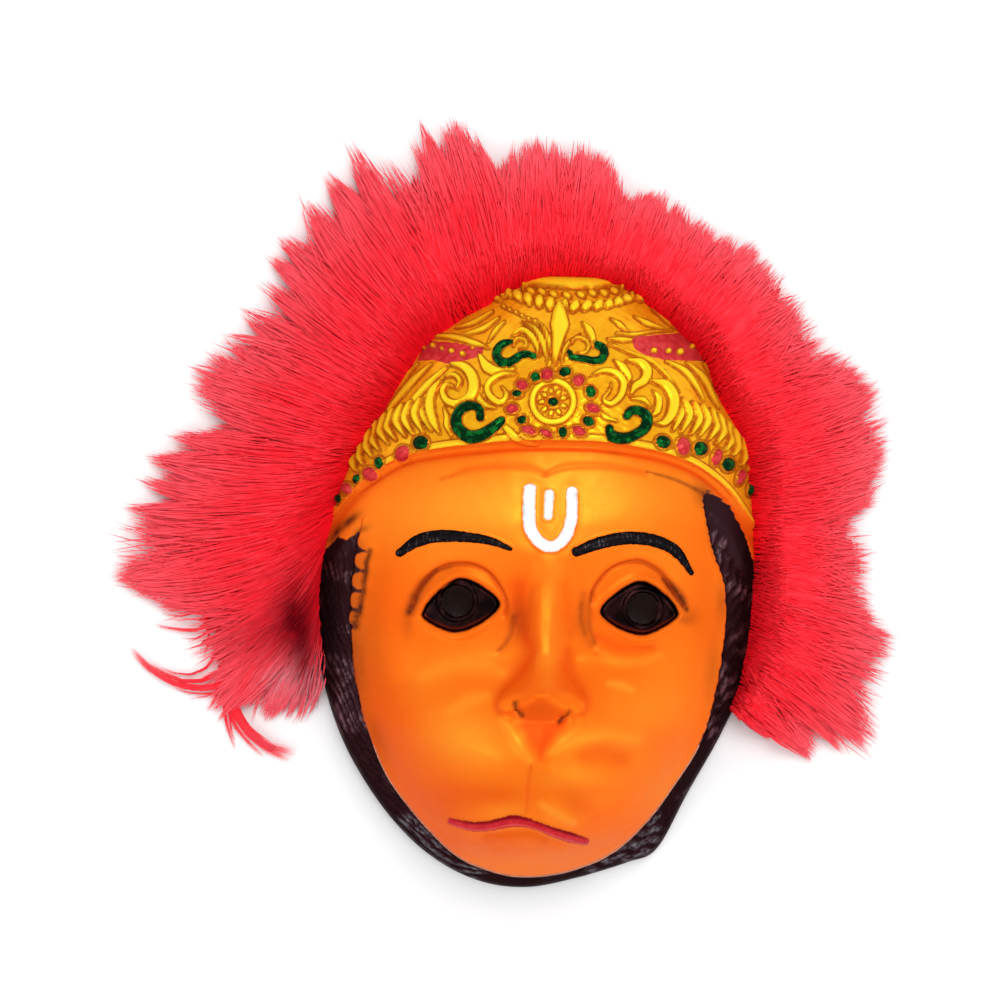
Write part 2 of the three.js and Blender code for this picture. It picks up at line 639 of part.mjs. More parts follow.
function furRing({ tip, share, depth }) {
  const [dx, dy] = [tip[0] - CENTRE[0], tip[1] - CENTRE[1]];
  const turned = Math.atan2(dy, dx);
  const angle = turned < -Math.PI / 2 ? turned + 2 * Math.PI : turned;
  const rooted = Math.min(FUR_FIRST, Math.max(FUR_LAST, angle));
  const root = rimRadius(rooted) + FUR_GAP;
  const reach = Math.hypot(dx, dy) - depth;
  const thin = (1 - 0.45 * (2 * Math.abs(share - 0.5)) ** 4) * (depth ? PARTING : 1);
  return FUR_SECTION.map(([out, up]) => {
    const x = CENTRE[0] + mix(root * Math.cos(rooted), reach * Math.cos(angle), out);
    const y = CENTRE[1] + mix(root * Math.sin(rooted), reach * Math.sin(angle), out);
    return drawnIn(x, y, FUR_HEIGHT * thin * up);
  });
}
const furBody = () => sweep(furSlices().map(furRing));

// Loose locks at the fur's lower left end, each a tapering, bent cone
const LOOSE_LOCKS = [
  { points: [[-104, -50], [-109.9, -70.9], [-109, -86], [-100, -97], [-91, -102.9],
    [-82, -103.5]], half: 4.5 },
  { points: [[-112, -60], [-116, -74], [-125, -75.6], [-136.5, -72], [-146, -65],
    [-151.7, -59]], half: 3.4 },
  { points: [[-104, -60], [-110, -80], [-108, -103]], half: 3.4 },
];
const LOCK_STEPS = 6;
const LOCK_SIDES = 5;
function looseLock({ points, half }) {
  const corners = points.map(([x, y]) => new THREE.Vector3(x, y, 0));
  const curve = new THREE.CatmullRomCurve3(corners, false, "catmullrom", 0.5);
  const rings = Array.from({ length: LOCK_STEPS + 1 }, (_, i) => {
    const at = curve.getPointAt(i / LOCK_STEPS);
    const along = curve.getTangentAt(i / LOCK_STEPS);
    const radius = half * (1 - (0.95 * i) / LOCK_STEPS);
    return Array.from({ length: LOCK_SIDES }, (__, k) => {
      const turn = (2 * Math.PI * k) / LOCK_SIDES;
      const off = radius * Math.cos(turn);
      const z = half + 0.5 + radius * Math.sin(turn);
      return drawnIn(at.x - along.y * off, at.y + along.x * off, z);
    });
  });
  return sweep(rings);
}

function furTrim() {
  return geometryFrom(wasm.Manifold.union([furBody(), ...LOOSE_LOCKS.map(looseLock)]));
}

function namedMesh(name, geometry, colour, roughness, metalness) {
  const material = new THREE.MeshStandardMaterial({ color: colour, roughness, metalness });
  const mesh = new THREE.Mesh(geometry, material);
  mesh.name = name;
  return mesh;
}

const mask = new THREE.Group();
mask.add(namedMesh("mask_shell", maskShell(), 0xf27a22, 0.42, 0));
mask.add(namedMesh("fur_trim", furTrim(), 0xf02838, 0.9, 0));

// The origin is under the middle of the whole mask, on the plane that it lies on
const box = new THREE.Box3().setFromObject(mask);
const middle = box.getCenter(new THREE.Vector3());
mask.position.set(-middle.x, -middle.y, -box.min.z);
mask.updateMatrixWorld(true);

export default mask;
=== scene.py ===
"""A monkey-faced festival mask with a gold crown and a long red fur trim, lying face up.

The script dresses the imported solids. The mask's shell is one fine mesh over the same named forms
as the solid, with the carving and the paint worked out point by point. The fur is a closed core
with many thousand tapering strands over it.
Sizes are millimetres in the drawing's own frame, whose plane is the plane of the rim. What stands
higher is drawn in by DRAW_IN for each millimetre. to_row() turns a point into the row frame.
"""

import math

import bpy
import numpy as np
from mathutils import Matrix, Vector


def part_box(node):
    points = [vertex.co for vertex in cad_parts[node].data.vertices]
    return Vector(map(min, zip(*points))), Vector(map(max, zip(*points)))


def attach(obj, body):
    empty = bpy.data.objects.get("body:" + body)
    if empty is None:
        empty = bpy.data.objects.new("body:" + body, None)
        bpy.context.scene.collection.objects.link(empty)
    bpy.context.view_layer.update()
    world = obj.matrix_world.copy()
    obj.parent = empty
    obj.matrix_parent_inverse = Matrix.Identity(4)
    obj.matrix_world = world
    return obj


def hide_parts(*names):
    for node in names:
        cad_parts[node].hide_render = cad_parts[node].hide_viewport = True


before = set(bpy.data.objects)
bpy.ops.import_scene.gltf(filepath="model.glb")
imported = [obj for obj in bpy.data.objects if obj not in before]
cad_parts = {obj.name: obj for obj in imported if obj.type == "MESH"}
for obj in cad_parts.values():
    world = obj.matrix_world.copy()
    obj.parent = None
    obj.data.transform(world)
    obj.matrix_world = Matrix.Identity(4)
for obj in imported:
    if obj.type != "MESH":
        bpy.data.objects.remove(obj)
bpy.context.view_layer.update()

METRE = 1000.0

# The camera looks straight down from here, and this much of the rim's plane fills the picture
CAMERA_HEIGHT = 1100
PICTURE_WIDTH = 410
SENSOR = 36

# The forms of the solid
DOME_HEIGHT = 70
DOME_POWER = 2.5
WALL = 2.3
DRAW_IN = 1 / CAMERA_HEIGHT
CROWN_RISE = 3
CENTRE = (16.4, -36.9)
CROWN_AXIS = 21.3
# The plan is rounded inwards from the rim: each radius is a mean over this angle to both sides
ROUNDING = 0.2
PLAN_POWER = 6
# The forms fade out into the flat rim
FADE_POWER = 14
# The muzzle, which is blunt at its foot and soft at its top
MUZZLE_HEIGHT = 29
MUZZLE_CENTRE = (13.5, -110.7)
MUZZLE_POWERS = (0.45, 1.7)
MUZZLE_CHANGE = 30
# The nose, from its bridge to its tip
NOSE_TOP = (19.7, -30.8)
NOSE_TIP = (17.2, -79)
NOSE_HEIGHTS = (1.5, 13)
NOSE_WIDTHS = (4.5, 11)
NOSE_ENDS = (-0.35, 1.26)
NOSE_BLUNT = 1.4
NOSE_WINGS = [(2.9, -82.8), (31.6, -83.6)]
WING_HEIGHT = 5
WING_SPREAD = (6.5, 6)
NOSTRILS = [(6.6, -85.7), (26.7, -88.2)]
NOSTRIL_DEPTH = 3.5
NOSTRIL_SPREAD = (3, 2.2)
# The eyes
SOCKET_DEPTH = 6.5
SOCKET_SPREAD = (24, 18)
BALL_SET_BACK = 3.4
BALL_SWELL = 3
BALL_RADIUS = 15
EYES = [{"at": (-16.8, -43.1), "side": -1}, {"at": (57.8, -44.3), "side": 1}]
EYE_TILT = -0.05
EYE_OPENING = [
    (15.8, -3.1), (9.8, 5.6), (-0.4, 11.5), (-11.5, 6.4), (-17.2, -0.9), (-9.8, -8),
    (0.8, -11.5), (10.3, -8.2),
]
EYE_HOLES = [(-17.4, -41.4), (58.6, -44.5)]
EYE_HOLE_RADIUS = 6
EYE_LEVEL = 60
HOLE_SIDES = 48
# The other swellings and dips of the face. The dip under the nose is at PHILTRUM
PHILTRUM = (16, -98)
PHILTRUM_SPREAD = (5, 9)
FACE_FORMS = [
    {"at": (43, -103.5), "spread": (18, 6), "height": -2.4},
    {"at": (-18, -80), "spread": (12, 12), "height": 2},
    {"at": (62, -76), "spread": (14, 12), "height": 2},
    {"at": PHILTRUM, "spread": PHILTRUM_SPREAD, "height": -2.5},
    {"at": (14, -122), "spread": (3, 9), "height": -1.8},
    {"at": (17, -22), "spread": (34, 9), "height": 1.5},
    {"at": (8, -141), "spread": (24, 6), "height": 1.8},
]
RIM = [
    (28.3, 92.7), (49.6, 89.8), (59.5, 83.6), (75.9, 69.7), (83.6, 61.5), (91, 43.1),
    (100, 27.1), (103.7, 8.2), (105.4, -16.4), (105, -45.1), (100, -73.8), (91, -95.1),
    (77.1, -119.7), (64.4, -142.7), (52.5, -148.4), (30.8, -155), (10.3, -158.7),
    (-9.4, -155.8), (-28.7, -145.6), (-45.9, -128.7), (-61.5, -104.6), (-70.9, -80),
    (-75.4, -53.3), (-75, -28.7), (-69.3, -4.9), (-63.1, 14.8), (-51.3, 33.6),
    (-39.4, 52.5), (-32.4, 64.4), (-19.3, 74.2), (-4.9, 82.4), (8.6, 89.8),
]
JAW = [
    (-55.4, -8.2), (-59, -28.7), (-59.9, -50), (-58.6, -70.1), (-54.1, -91), (-47.2, -109.9),
    (-36.1, -126.3), (-19.3, -143.9), (-4.1, -151.3), (10.3, -153.8), (28.7, -151.3),
    (45.9, -143.9), (59.5, -131.6), (70.9, -116.4), (80.8, -100.5), (86.1, -84.1),
    (89.8, -65.2), (91.8, -47.2), (90.6, -32.8), (86.1, -19.7), (81.6, 2.5),
]
CROWN_EDGE = [
    (-69, -6.6), (-57, 7), (-40.6, 17.2), (-25.4, 20.9), (-8, 23), (8.2, 24.4), (30.9, 24.4),
    (43.5, 23.6), (56.2, 21.7), (68.5, 18.9), (81.2, 13.5), (93.7, 3.3), (104, -12),
]
# The face ends this far under the crown's edge
FACE_TOP = 10
MUZZLE_TOP = [
    (80.8, -84), (65.6, -70), (41, -64), (16.4, -62.3), (-12.3, -64.8), (-41, -74), (-53, -84),
]
# Half the angle that a surface normal is measured over, and the same as a share of the way out
NORMAL_STEP = 0.004
RIM_SAMPLES = 2880


def mix(low, high, share):
    return low + (high - low) * share


def clamp(value):
    return np.clip(value, 0.0, 1.0)


def ease(low, high, value):
    share = clamp((value - low) / (high - low))
    return share * share * (3 - 2 * share)


def bell(dx, dy, spread_x, spread_y):
    return np.exp(-((dx / spread_x) ** 2) - (dy / spread_y) ** 2)


def turned(dx, dy, turn):
    """An offset, taken along a direction and across it."""
    return (dx * math.cos(turn) + dy * math.sin(turn),
            dy * math.cos(turn) - dx * math.sin(turn))


def soft_spot(x, y, at, spread, turn=0.0):
    """A patch that is strongest in its middle and fades out all round."""
    return bell(*turned(x - at[0], y - at[1], turn), *spread)


def unit(vectors):
    return vectors / np.linalg.norm(vectors, axis=-1, keepdims=True)


def smooth_curve(points, closed=False, steps=16):
    """A uniform Catmull-Rom curve through the points, the same curve that the solid uses."""
    p = np.array(points, float)
    count = len(p)
    if closed:
        before, after, ahead = np.roll(p, 1, 0), np.roll(p, -1, 0), np.roll(p, -2, 0)
        here = p
    else:
        long = np.vstack([2 * p[0] - p[1], p, 2 * p[-1] - p[-2]])
        before, here, after, ahead = long[:-3], long[1:-2], long[2:-1], long[3:]
        count -= 1
    t = (np.arange(steps) / steps)[None, :, None]
    out_slope = 0.5 * (after - before)[:, None]
    in_slope = 0.5 * (ahead - here)[:, None]
    a, b = here[:, None], after[:, None]
    cubic = 2 * a - 2 * b + out_slope + in_slope
    square = -3 * a + 3 * b - 2 * out_slope - in_slope
    curve = (((cubic * t + square) * t + out_slope) * t + a).reshape(count * steps, -1)
    return curve if closed else np.vstack([curve, p[-1]])


def polar(x, y, centre=CENTRE):
    dx, dy = x - centre[0], y - centre[1]
    return np.arctan2(dy, dx), np.hypot(dx, dy)


def polar_radius(points, centre):
    """The distance from centre to a closed outline, as a function of the angle."""
    curve = smooth_curve(points, closed=True)
    angle, radius = polar(curve[:, 0], curve[:, 1], centre)
    order = np.argsort(angle)
    return lambda at: np.interp(at, angle[order], radius[order], period=2 * math.pi)


rim_radius = polar_radius(RIM, CENTRE)
face_radius = polar_radius(
    JAW + [(x, y - FACE_TOP) for x, y in reversed(CROWN_EDGE[1:-2])], CENTRE)
muzzle_radius = polar_radius(JAW[4:15] + MUZZLE_TOP, MUZZLE_CENTRE)
crown_edge = smooth_curve(CROWN_EDGE)
crown_slope = np.gradient(crown_edge[:, 1], crown_edge[:, 0])


def eye_place(eye, point):
    """A place near an eye, from its offset from the middle of the right-hand eye."""
    side = eye["side"]
    return (eye["at"][0] + side * point[0],
            eye["at"][1] + point[1] - side * point[0] * EYE_TILT)


for eye in EYES:
    eye["opening"] = [eye_place(eye, point) for point in EYE_OPENING]
    eye["edge"] = polar_radius(eye["opening"], eye["at"])


def above_crown_edge(x, y):
    level = np.interp(x, crown_edge[:, 0], crown_edge[:, 1])
    slope = np.interp(x, crown_edge[:, 0], crown_slope)
    return (y - level) / np.hypot(1, slope)


def muzzle(x, y):
    angle, radius = polar(x, y, MUZZLE_CENTRE)
    share = radius / muzzle_radius(angle)
    upward = ease(-MUZZLE_CHANGE, MUZZLE_CHANGE, y - MUZZLE_CENTRE[1])
    return MUZZLE_HEIGHT * clamp(1 - share * share) ** mix(*MUZZLE_POWERS, upward)


def nose(x, y):
    along = (NOSE_TOP[1] - y) / (NOSE_TOP[1] - NOSE_TIP[1])
    share = clamp(along)
    middle = mix(NOSE_TOP[0], NOSE_TIP[0], share)
    width = mix(*NOSE_WIDTHS, share**1.5)
    rise = mix(*NOSE_HEIGHTS, share**1.4)
    ends = ease(NOSE_ENDS[0], 0, along) * (1 - ease(1, NOSE_ENDS[1], along))
    height = rise * ends * np.exp(-((((x - middle) / width) ** 2) ** NOSE_BLUNT))
    for at in NOSE_WINGS:
        height = height + WING_HEIGHT * soft_spot(x, y, at, WING_SPREAD)
    for at in NOSTRILS:
        height = height - NOSTRIL_DEPTH * soft_spot(x, y, at, NOSTRIL_SPREAD)
    return height


def outside_eye(eye, x, y):
    angle, radius = polar(x, y, eye["at"])
    return radius - eye["edge"](angle)


def eye_forms(x, y):
    height = np.zeros_like(x)
    for eye in EYES:
        dx, dy = x - eye["at"][0], y - eye["at"][1]
        height -= SOCKET_DEPTH * bell(dx, dy, *SOCKET_SPREAD)
        height -= BALL_SET_BACK * (1 - ease(-2, 1, outside_eye(eye, x, y)))
        height += BALL_SWELL * clamp(1 - (dx * dx + dy * dy) / BALL_RADIUS**2)
    return height


def face_forms(x, y):
    return sum(form["height"] * soft_spot(x, y, form["at"], form["spread"])
               for form in FACE_FORMS)


def crown_body(x, y):
    return CROWN_RISE * ease(-3, 3, above_crown_edge(x, y))


def dome_height(share):
    return DOME_HEIGHT * np.sqrt(clamp(1 - share**DOME_POWER))


def soft_rim_radius(angle):
    return (rim_radius(angle - ROUNDING) + rim_radius(angle) + rim_radius(angle + ROUNDING)) / 3


def plan_point(angle, share):
    radius = share * mix(soft_rim_radius(angle), rim_radius(angle), share**PLAN_POWER)
    return CENTRE[0] + radius * np.cos(angle), CENTRE[1] + radius * np.sin(angle)


def drawn_in(x, y, z):
    return np.stack([x * (1 - z * DRAW_IN), y * (1 - z * DRAW_IN), z], -1)


def form_point(angle, share):
    x, y = plan_point(angle, share)
    forms = muzzle(x, y) + nose(x, y) + eye_forms(x, y) + face_forms(x, y) + crown_body(x, y)
    z = (dome_height(share) + forms * (1 - share**FADE_POWER)) * (share < 1)
    return drawn_in(x, y, z)


def normal_at(angle, share):
    step = NORMAL_STEP
    inner = np.clip(share, 2 * step, 1 - step)
    radial = form_point(angle, inner + step) - form_point(angle, inner - step)
    turning = form_point(angle + step, inner) - form_point(angle - step, inner)
    return unit(np.cross(radial, turning))


def drawing_shift():
    """Where the drawing's frame lies in the row frame: the rim's outline fills the shell's box."""
    box_low, box_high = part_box("mask_shell")
    angle = np.linspace(-math.pi, math.pi, RIM_SAMPLES)
    rim = plan_point(angle, np.ones_like(angle))
    middle = [(box_low[k] + box_high[k]) / 2 * METRE - (rim[k].min() + rim[k].max()) / 2
              for k in (0, 1)]
    return np.array([*middle, 0.0])


SHIFT = drawing_shift()


def to_row(points):
    return (np.asarray(points) + SHIFT) / METRE


# The carving. A line is its points, its half width along them and its height. A later line
# lies on top of an earlier one, with a groove round it
GREEN_HOOKS = [
    ([(0.4, 32.2), (-2.9, 29.5), (-7.2, 26.8), (-12, 25.9), (-16.2, 28.3), (-17.9, 32.5),
      (-15.9, 36.8), (-12, 38.6), (-8.4, 37.1), (-7.9, 33.7)], (2, 2.5, 2.6, 2.2, 1.8, 1.6), 2.2),
    ([(4.9, 64.6), (1.7, 64), (-0.9, 61.6), (-1.1, 58.4), (1, 56.3), (4.4, 56.5), (7.5, 58.6),
      (10.6, 59.6), (14, 58.6)], (0.8, 1.6, 1.9, 1.9, 1.7, 1.5, 1.2), 1.9),
    ([(44.7, 29.2), (45.9, 26.2), (50.7, 25.3), (55.5, 26.8), (59.4, 29.8), (60, 33.7),
      (57.3, 36.2), (53.7, 36.5), (51.9, 34.4)], (1.7, 2.4, 2.1, 2.3, 2.3, 1.9, 1.7), 2.2),
    ([(28.4, 60.3), (29.7, 58.3), (33.6, 57.8), (37.8, 57), (41.2, 57.4), (42.8, 60),
      (41.7, 62.4), (39.8, 63.4)], (1.1, 1.4, 1.5, 1.7, 1.8, 1.5), 1.9),
]
SCROLLS = [
    ([(-8.7, 59.9), (-5, 54.2), (0.1, 52.4), (6.4, 53.6)], (0.8, 2.4, 2, 0.6), 1.4),
    ([(-7.8, 46.1), (-9, 42.5), (-6, 38.9), (-1.7, 37.4)], (0.8, 1.6, 1.3, 0.6), 1.4),
    ([(0.4, 31.6), (4.3, 27.7), (9.1, 23.5), (15.7, 22.3)], (1, 1.8, 1.4, 0.6), 1.3),
    ([(-22.8, 37.7), (-21.6, 34), (-21.6, 30.4), (-19.8, 26.2)], (0.7, 1.2, 1.3, 0.6), 1.2),
    ([(-23.7, 48.5), (-27.3, 44.3), (-28.5, 38.3), (-27, 32.2), (-24.6, 27.1)],
     (0.6, 1.7, 2.2, 1.9, 0.7), 1.9),
    ([(-19.5, 55.2), (-14.7, 54.5), (-11.4, 50.9), (-10.5, 46.1), (-12.3, 41.6), (-16.8, 39.2),
      (-21.3, 40.4), (-23.1, 44), (-21.6, 46.7), (-18.6, 46.1)],
     (0.8, 2, 2.4, 2.5, 2.2, 1.8, 1.6, 1.3, 1.1, 0.7), 2),
    ([(-22.2, 50.3), (-18.6, 51), (-16.2, 48.5), (-17.3, 45.2)], (0.6, 1.2, 1.2, 0.6), 1.6),
    ([(7, 51.2), (1.3, 51.2), (-3.8, 48.5), (-5, 44.9), (-2.9, 41.3), (0.7, 39.8), (2.8, 42.8),
      (0.7, 46.4)], (0.6, 1.2, 1.4, 1.4, 1.6, 1.4, 1.1, 0.6), 1.6),
    ([(9.1, 72.6), (14.3, 69.9), (17.4, 65), (18.7, 59.7), (19.3, 56.1)],
     (0.4, 1, 1.4, 1, 0.4), 1.7),
    ([(14.8, 73.9), (18.2, 69.7), (20.3, 64.4), (21.2, 59.7), (21.9, 55.8)],
     (0.4, 0.9, 1.2, 0.8, 0.4), 1.9),
    ([(5.1, 67.1), (9.1, 69.4), (12.7, 67.1), (15.1, 62.9), (15.9, 58.7)],
     (0.5, 1.2, 1.4, 1.2, 0.5), 1.6),
    ([(5.5, 62.9), (7, 65.8), (10.1, 65.5), (10.9, 63.1), (8, 61.8)],
     (0.5, 0.8, 0.9, 0.8, 0.5), 1.2),
    ([(44.7, 63.8), (53.1, 60.2), (61.5, 56.9), (68.1, 50.9), (73.2, 44.3)],
     (0.6, 0.8, 1, 1, 0.6), 1.3),
    ([(46.8, 56.9), (50.1, 54.2), (52.5, 50.3), (52.2, 47.3)], (0.7, 1.8, 1.6, 0.5), 1.5),
    ([(53.7, 41.3), (58.5, 41), (61.5, 38)], (0.6, 1.3, 0.6), 1.2),
    ([(40.5, 37.7), (42.9, 34), (47.7, 32.2)], (0.6, 1.3, 0.7), 1.2),
    ([(51.9, 56.9), (57.3, 56), (60, 52.7), (58.8, 48.8), (55.2, 46.4), (53.4, 43.1)],
     (0.6, 1.9, 2.3, 2, 1.7, 0.7), 1.9),
    ([(61.8, 48.5), (67.5, 47), (70.8, 41.9), (70.2, 35.9), (67.2, 31.6), (63.6, 31.2)],
     (0.7, 2.2, 2.5, 2.3, 1.7, 0.6), 2),
    ([(62.4, 44.6), (64.8, 41.3), (64.2, 36.5), (62.1, 34.4)], (0.5, 1.6, 1.6, 0.6), 1.5),
    ([(37.1, 50.6), (42.3, 52.7), (47.4, 51.8), (50.4, 47.9), (49.2, 42.5), (45.3, 39.2),
      (42.3, 41), (44.7, 44.6), (45.6, 47.9)], (0.5, 1.2, 1.6, 1.7, 1.6, 1.3, 1, 0.8, 0.5), 1.6),
    ([(25.3, 55.8), (26.1, 60.3), (28.4, 64.4), (32.6, 67.8)], (0.5, 1, 0.9, 0.4), 1.7),
    ([(33.6, 72.6), (36.5, 69.2), (38.1, 65.5), (38.3, 62.6)], (0.6, 1.8, 1.4, 0.5), 1.7),
    ([(29.2, 63.9), (31.3, 66.3), (34.7, 65.5), (36.3, 62.9), (34.9, 60.3), (31.8, 60.3)],
     (0.5, 0.8, 0.9, 0.9, 0.8, 0.5), 1.2),
]
# Soft folds of the crown's cloth, over and under the painted bands
FOLDS = [
    ([(-28.2, 55.6), (-35.4, 49.1), (-42.6, 40.7), (-47.1, 34)], (0.7, 1.6, 1.4, 0.6), 0.9),
    ([(-21.9, 54.2), (-29.7, 47.3), (-35.7, 40.7), (-38.4, 38)], (0.7, 1.7, 1.4, 0.6), 1),
    ([(-33.6, 56), (-40.2, 48.5), (-47.1, 38.9), (-52.3, 31.6)], (0.5, 1.3, 1.2, 0.5), 0.8),
    ([(-29.4, 67.1), (-18.6, 66.6), (-9.6, 64), (-4.7, 62)], (0.6, 1.4, 1.4, 0.5), 1.1),
    ([(-18, 70.4), (-10.8, 72.7), (-3.2, 77.1)], (0.5, 1.2, 0.8), 0.8),
    ([(-15.6, 67.7), (-7.2, 70.1), (-0.5, 74.6)], (0.5, 1.4, 0.7), 0.8),
    ([(-4.7, 64.7), (-1.7, 69.5), (1.9, 73.1)], (0.5, 1.2, 0.6), 0.7),
    ([(68.1, 56.9), (75.9, 52.7), (80.4, 46.7), (83.2, 40.7)], (0.7, 1.6, 1.4, 0.6), 0.9),
    ([(76.5, 56.3), (83.2, 50.3), (86.8, 43.1), (89.5, 37.7)], (0.7, 1.6, 1.3, 0.6), 0.9),
    ([(83.5, 56), (88, 48.5), (92.2, 39.5)], (0.6, 1.3, 0.7), 0.8),
    ([(44.1, 65.9), (50.1, 65.6), (54.9, 65.3)], (0.6, 1.3, 0.6), 1),
    ([(47.7, 68.3), (54.9, 67.7), (62.1, 68.9), (70.5, 69.5)], (0.6, 1, 0.7, 0.5), 0.9),
    ([(45.3, 74.3), (48.9, 71.9), (52.5, 68.9)], (0.5, 1.3, 0.5), 0.7),
    ([(54.9, 75.2), (60.3, 72.5), (66.9, 70.1)], (0.5, 1.4, 0.6), 0.7),
    ([(62.1, 78.6), (68.1, 73.7), (73.5, 69.5)], (0.5, 1.2, 0.6), 0.8),
]
# The comb of curved lobes over the gems: tops, bellies and feet, right of the crown's axis
FLUTES_A_SIDE = 10
FLUTE_TOPS = [(50, 42.5), (66, 36), (80, 22)]
FLUTE_BELLIES = [(52.6, 36), (69, 30), (81.6, 16.5)]
FLUTE_FEET = [(49.4, 28.5), (65.5, 24), (80, 12)]
FLUTE_HALF = (0.7, 1.75, 1.6, 0.8)
# The gems: place, radii, turn and whether each is green
GEMS = [
    ((19.3, 51.4), (2.5, 2.4), 0.3, False), ((14.5, 50.3), (1.9, 2), 0, True),
    ((9, 47), (2.5, 1.9), -0.3, False), ((7, 43.4), (2.1, 1.4), 0, True),
    ((4.9, 37.4), (2.5, 1.8), 0, False), ((9, 32.8), (2, 1.7), 0.2, True),
    ((11.7, 28.6), (2.9, 1.6), -0.35, False), ((18.8, 27.5), (2.8, 1.3), -0.45, False),
    ((26.6, 52.4), (2.4, 2), 0.2, True), ((32.2, 48.8), (2.4, 2.3), 0.4, False),
    ((37.1, 44.3), (2, 2.5), 0.3, True), ((38.1, 37.4), (2.9, 1.9), -0.4, False),
    ((36.2, 32.2), (2.4, 1.9), -0.6, True), ((32.3, 28.3), (2.9, 1.8), -0.4, False),
    ((25.7, 27.9), (1.7, 2.1), 0.1, True),
    ((-32.4, 23.5), (3.2, 2.7), 0.2, True), ((-39.9, 19), (2.7, 3.3), -0.4, False),
    ((-49.3, 15.1), (1.6, 2.5), 0, True), ((-53.2, 10.6), (2.6, 2.9), 0.5, False),
    ((-58.3, 8.5), (1.1, 2.1), -0.5, True), ((-62.5, 4.6), (2, 2.3), 0.4, False),
    ((-66, 0.6), (1.3, 2), 0.3, True),
    ((66.8, 23.8), (3, 2.5), -0.3, True), ((75, 22), (2.7, 3.7), 0.1, False),
    ((82.1, 21), (2.8, 2.9), 0, True), ((88.6, 17.5), (1.7, 3.6), -0.3, False),
    ((93.4, 14.5), (2.6, 2.8), -0.2, True), ((98.5, 9.4), (1.5, 3.2), -0.3, False),
    ((102.4, 4.4), (0.9, 2.7), -0.1, True),
]
MEDALLION = (21.7, 40.2)
MEDALLION_RINGS = [(8.4, 1.5, 1.5), (5.2, 0.5, -0.5)]
PETALS = 9
# The knob on top: a rolled rim over a twisted rope
KNOB_ROLL = ([(9.8, 86.2), (11.1, 88.4), (16.4, 89), (28.4, 88.3), (38.9, 88.3), (46.7, 88.8),
              (49.6, 87.8), (49.7, 85.9)], (0.9, 1.5, 1.9, 2.1, 2.1, 1.8, 1.5, 0.9), 2.6)
KNOB_CAP = ((28.7, 90.9), (8.5, 2.4), 2.2)
KNOB_NOTCHES = [(12.7, 85.4), (17.2, 85.1), (21.9, 84.2), (27.4, 83.7), (33.1, 83.9),
                (37.8, 84.6), (42.5, 84.7), (46.7, 85.6)]
ROPE_LOBES = [
    ((-1.5, 83), 1.5), ((1.3, 84.5), 1.4), ((4.4, 84.5), 1.2), ((7.6, 83.2), 0.9),
    ((11.7, 82), 0.5), ((16.2, 80.9), 0.2), ((20.6, 80.1), 0.1), ((26, 79.2), -0.1),
    ((30.6, 79), -0.3), ((35.5, 79.2), -0.5), ((40.5, 79.6), -0.6), ((45.1, 80.2), -0.8),
    ((49, 81.2), -1.0), ((52.4, 82.4), -1.2), ((55.3, 83.6), -1.4), ((57.4, 82.9), -1.7),
]
ROPE_BEADS = [(1.7, 79.1), (4.1, 77.8), (6.7, 76.7), (9.1, 75.4), (11.9, 74.1), (14.3, 73.1)]
CENTRE_LEAF = ([(22.8, 55.6), (23, 59.7), (23.6, 63.9), (24.1, 68.1), (24.5, 71.8), (24.4, 76),
                (24.2, 80.7)], (0.6, 1.6, 2.2, 3, 4, 3.1, 0.6), 2.4)
# The gold band's beads on the red cloth, then the red cloth itself
BAND_BEADS = [
    ((-30.9, 62.3), 0.9), ((-27.3, 63.2), 1.4), ((-23.7, 62), 1), ((-19.8, 61.1), 1.3),
    ((-15.3, 59.9), 1.4), ((-11.2, 62.3), 0.9),
    ((63, 61.2), 1.5), ((69, 61.1), 1.4), ((73.8, 60.8), 1.7), ((78.6, 62.8), 1.4),
    ((81.7, 62.3), 0.9),
]
RED_BANDS = [
    [(-34.2, 56.9), (-30.6, 65.6), (-27.6, 65.2), (-17.4, 64.4), (-12, 62.9), (-6.6, 62.3),
     (-6.9, 59.9), (-10.8, 58.1), (-20.4, 55.6), (-27.6, 57.4)],
    [(53.7, 65.3), (55.5, 66.8), (64.5, 67.8), (73.5, 68.5), (79.5, 67.1), (84.6, 61),
     (87, 56.9), (74.1, 57.2), (67.5, 57.4), (59.7, 59.3), (55.5, 61.7)],
]
BROWS = [
    ([(31.2, -21.3), (41, -17.6), (52.5, -15.6), (63.6, -16.8), (72.2, -21.3), (78.3, -29.9)],
     (2, 2.6, 2.6, 2.5, 2.3, 1), 1.6),
    ([(4.5, -20.1), (-4.1, -16.8), (-14.4, -15.2), (-24.6, -14.8), (-33.6, -16.8),
      (-41, -21.7)], (0.9, 1.7, 2.2, 2.6, 2.5, 1.7), 1.6),
]
FOREHEAD_MARK = [
    ([(12.3, 5.6), (11.9, -6.2), (13.5, -13.9), (19.7, -19), (25.8, -16.4), (29.2, -8),
      (29.5, 4.6)], (2.5, 2.6, 2.3, 2.3, 2.4, 2.2), 1.2),
    ([(20.3, 3.7), (19.7, -7.6)], (1.9, 1.8), 1.2),
]
LIPS = ([(-20, -131.7), (-11.9, -133.7), (-4.6, -133.5), (3.8, -131.7), (9.8, -131.9),
         (15.8, -133.7), (22.4, -136.2), (29, -138.3), (35, -139.8)],
        (1.5, 2, 2, 2.4, 2.1, 1.8, 2, 2.1, 1.6), 0.9)
LIP_HALF = 2.1
UNDER_LIP = ([(-6, -137.5), (1.4, -136.6), (8.6, -135.9), (13.4, -136.2), (18.8, -138.8),
              (25.4, -141)], (0.5, 0.9, 0.9, 0.5), -0.7)
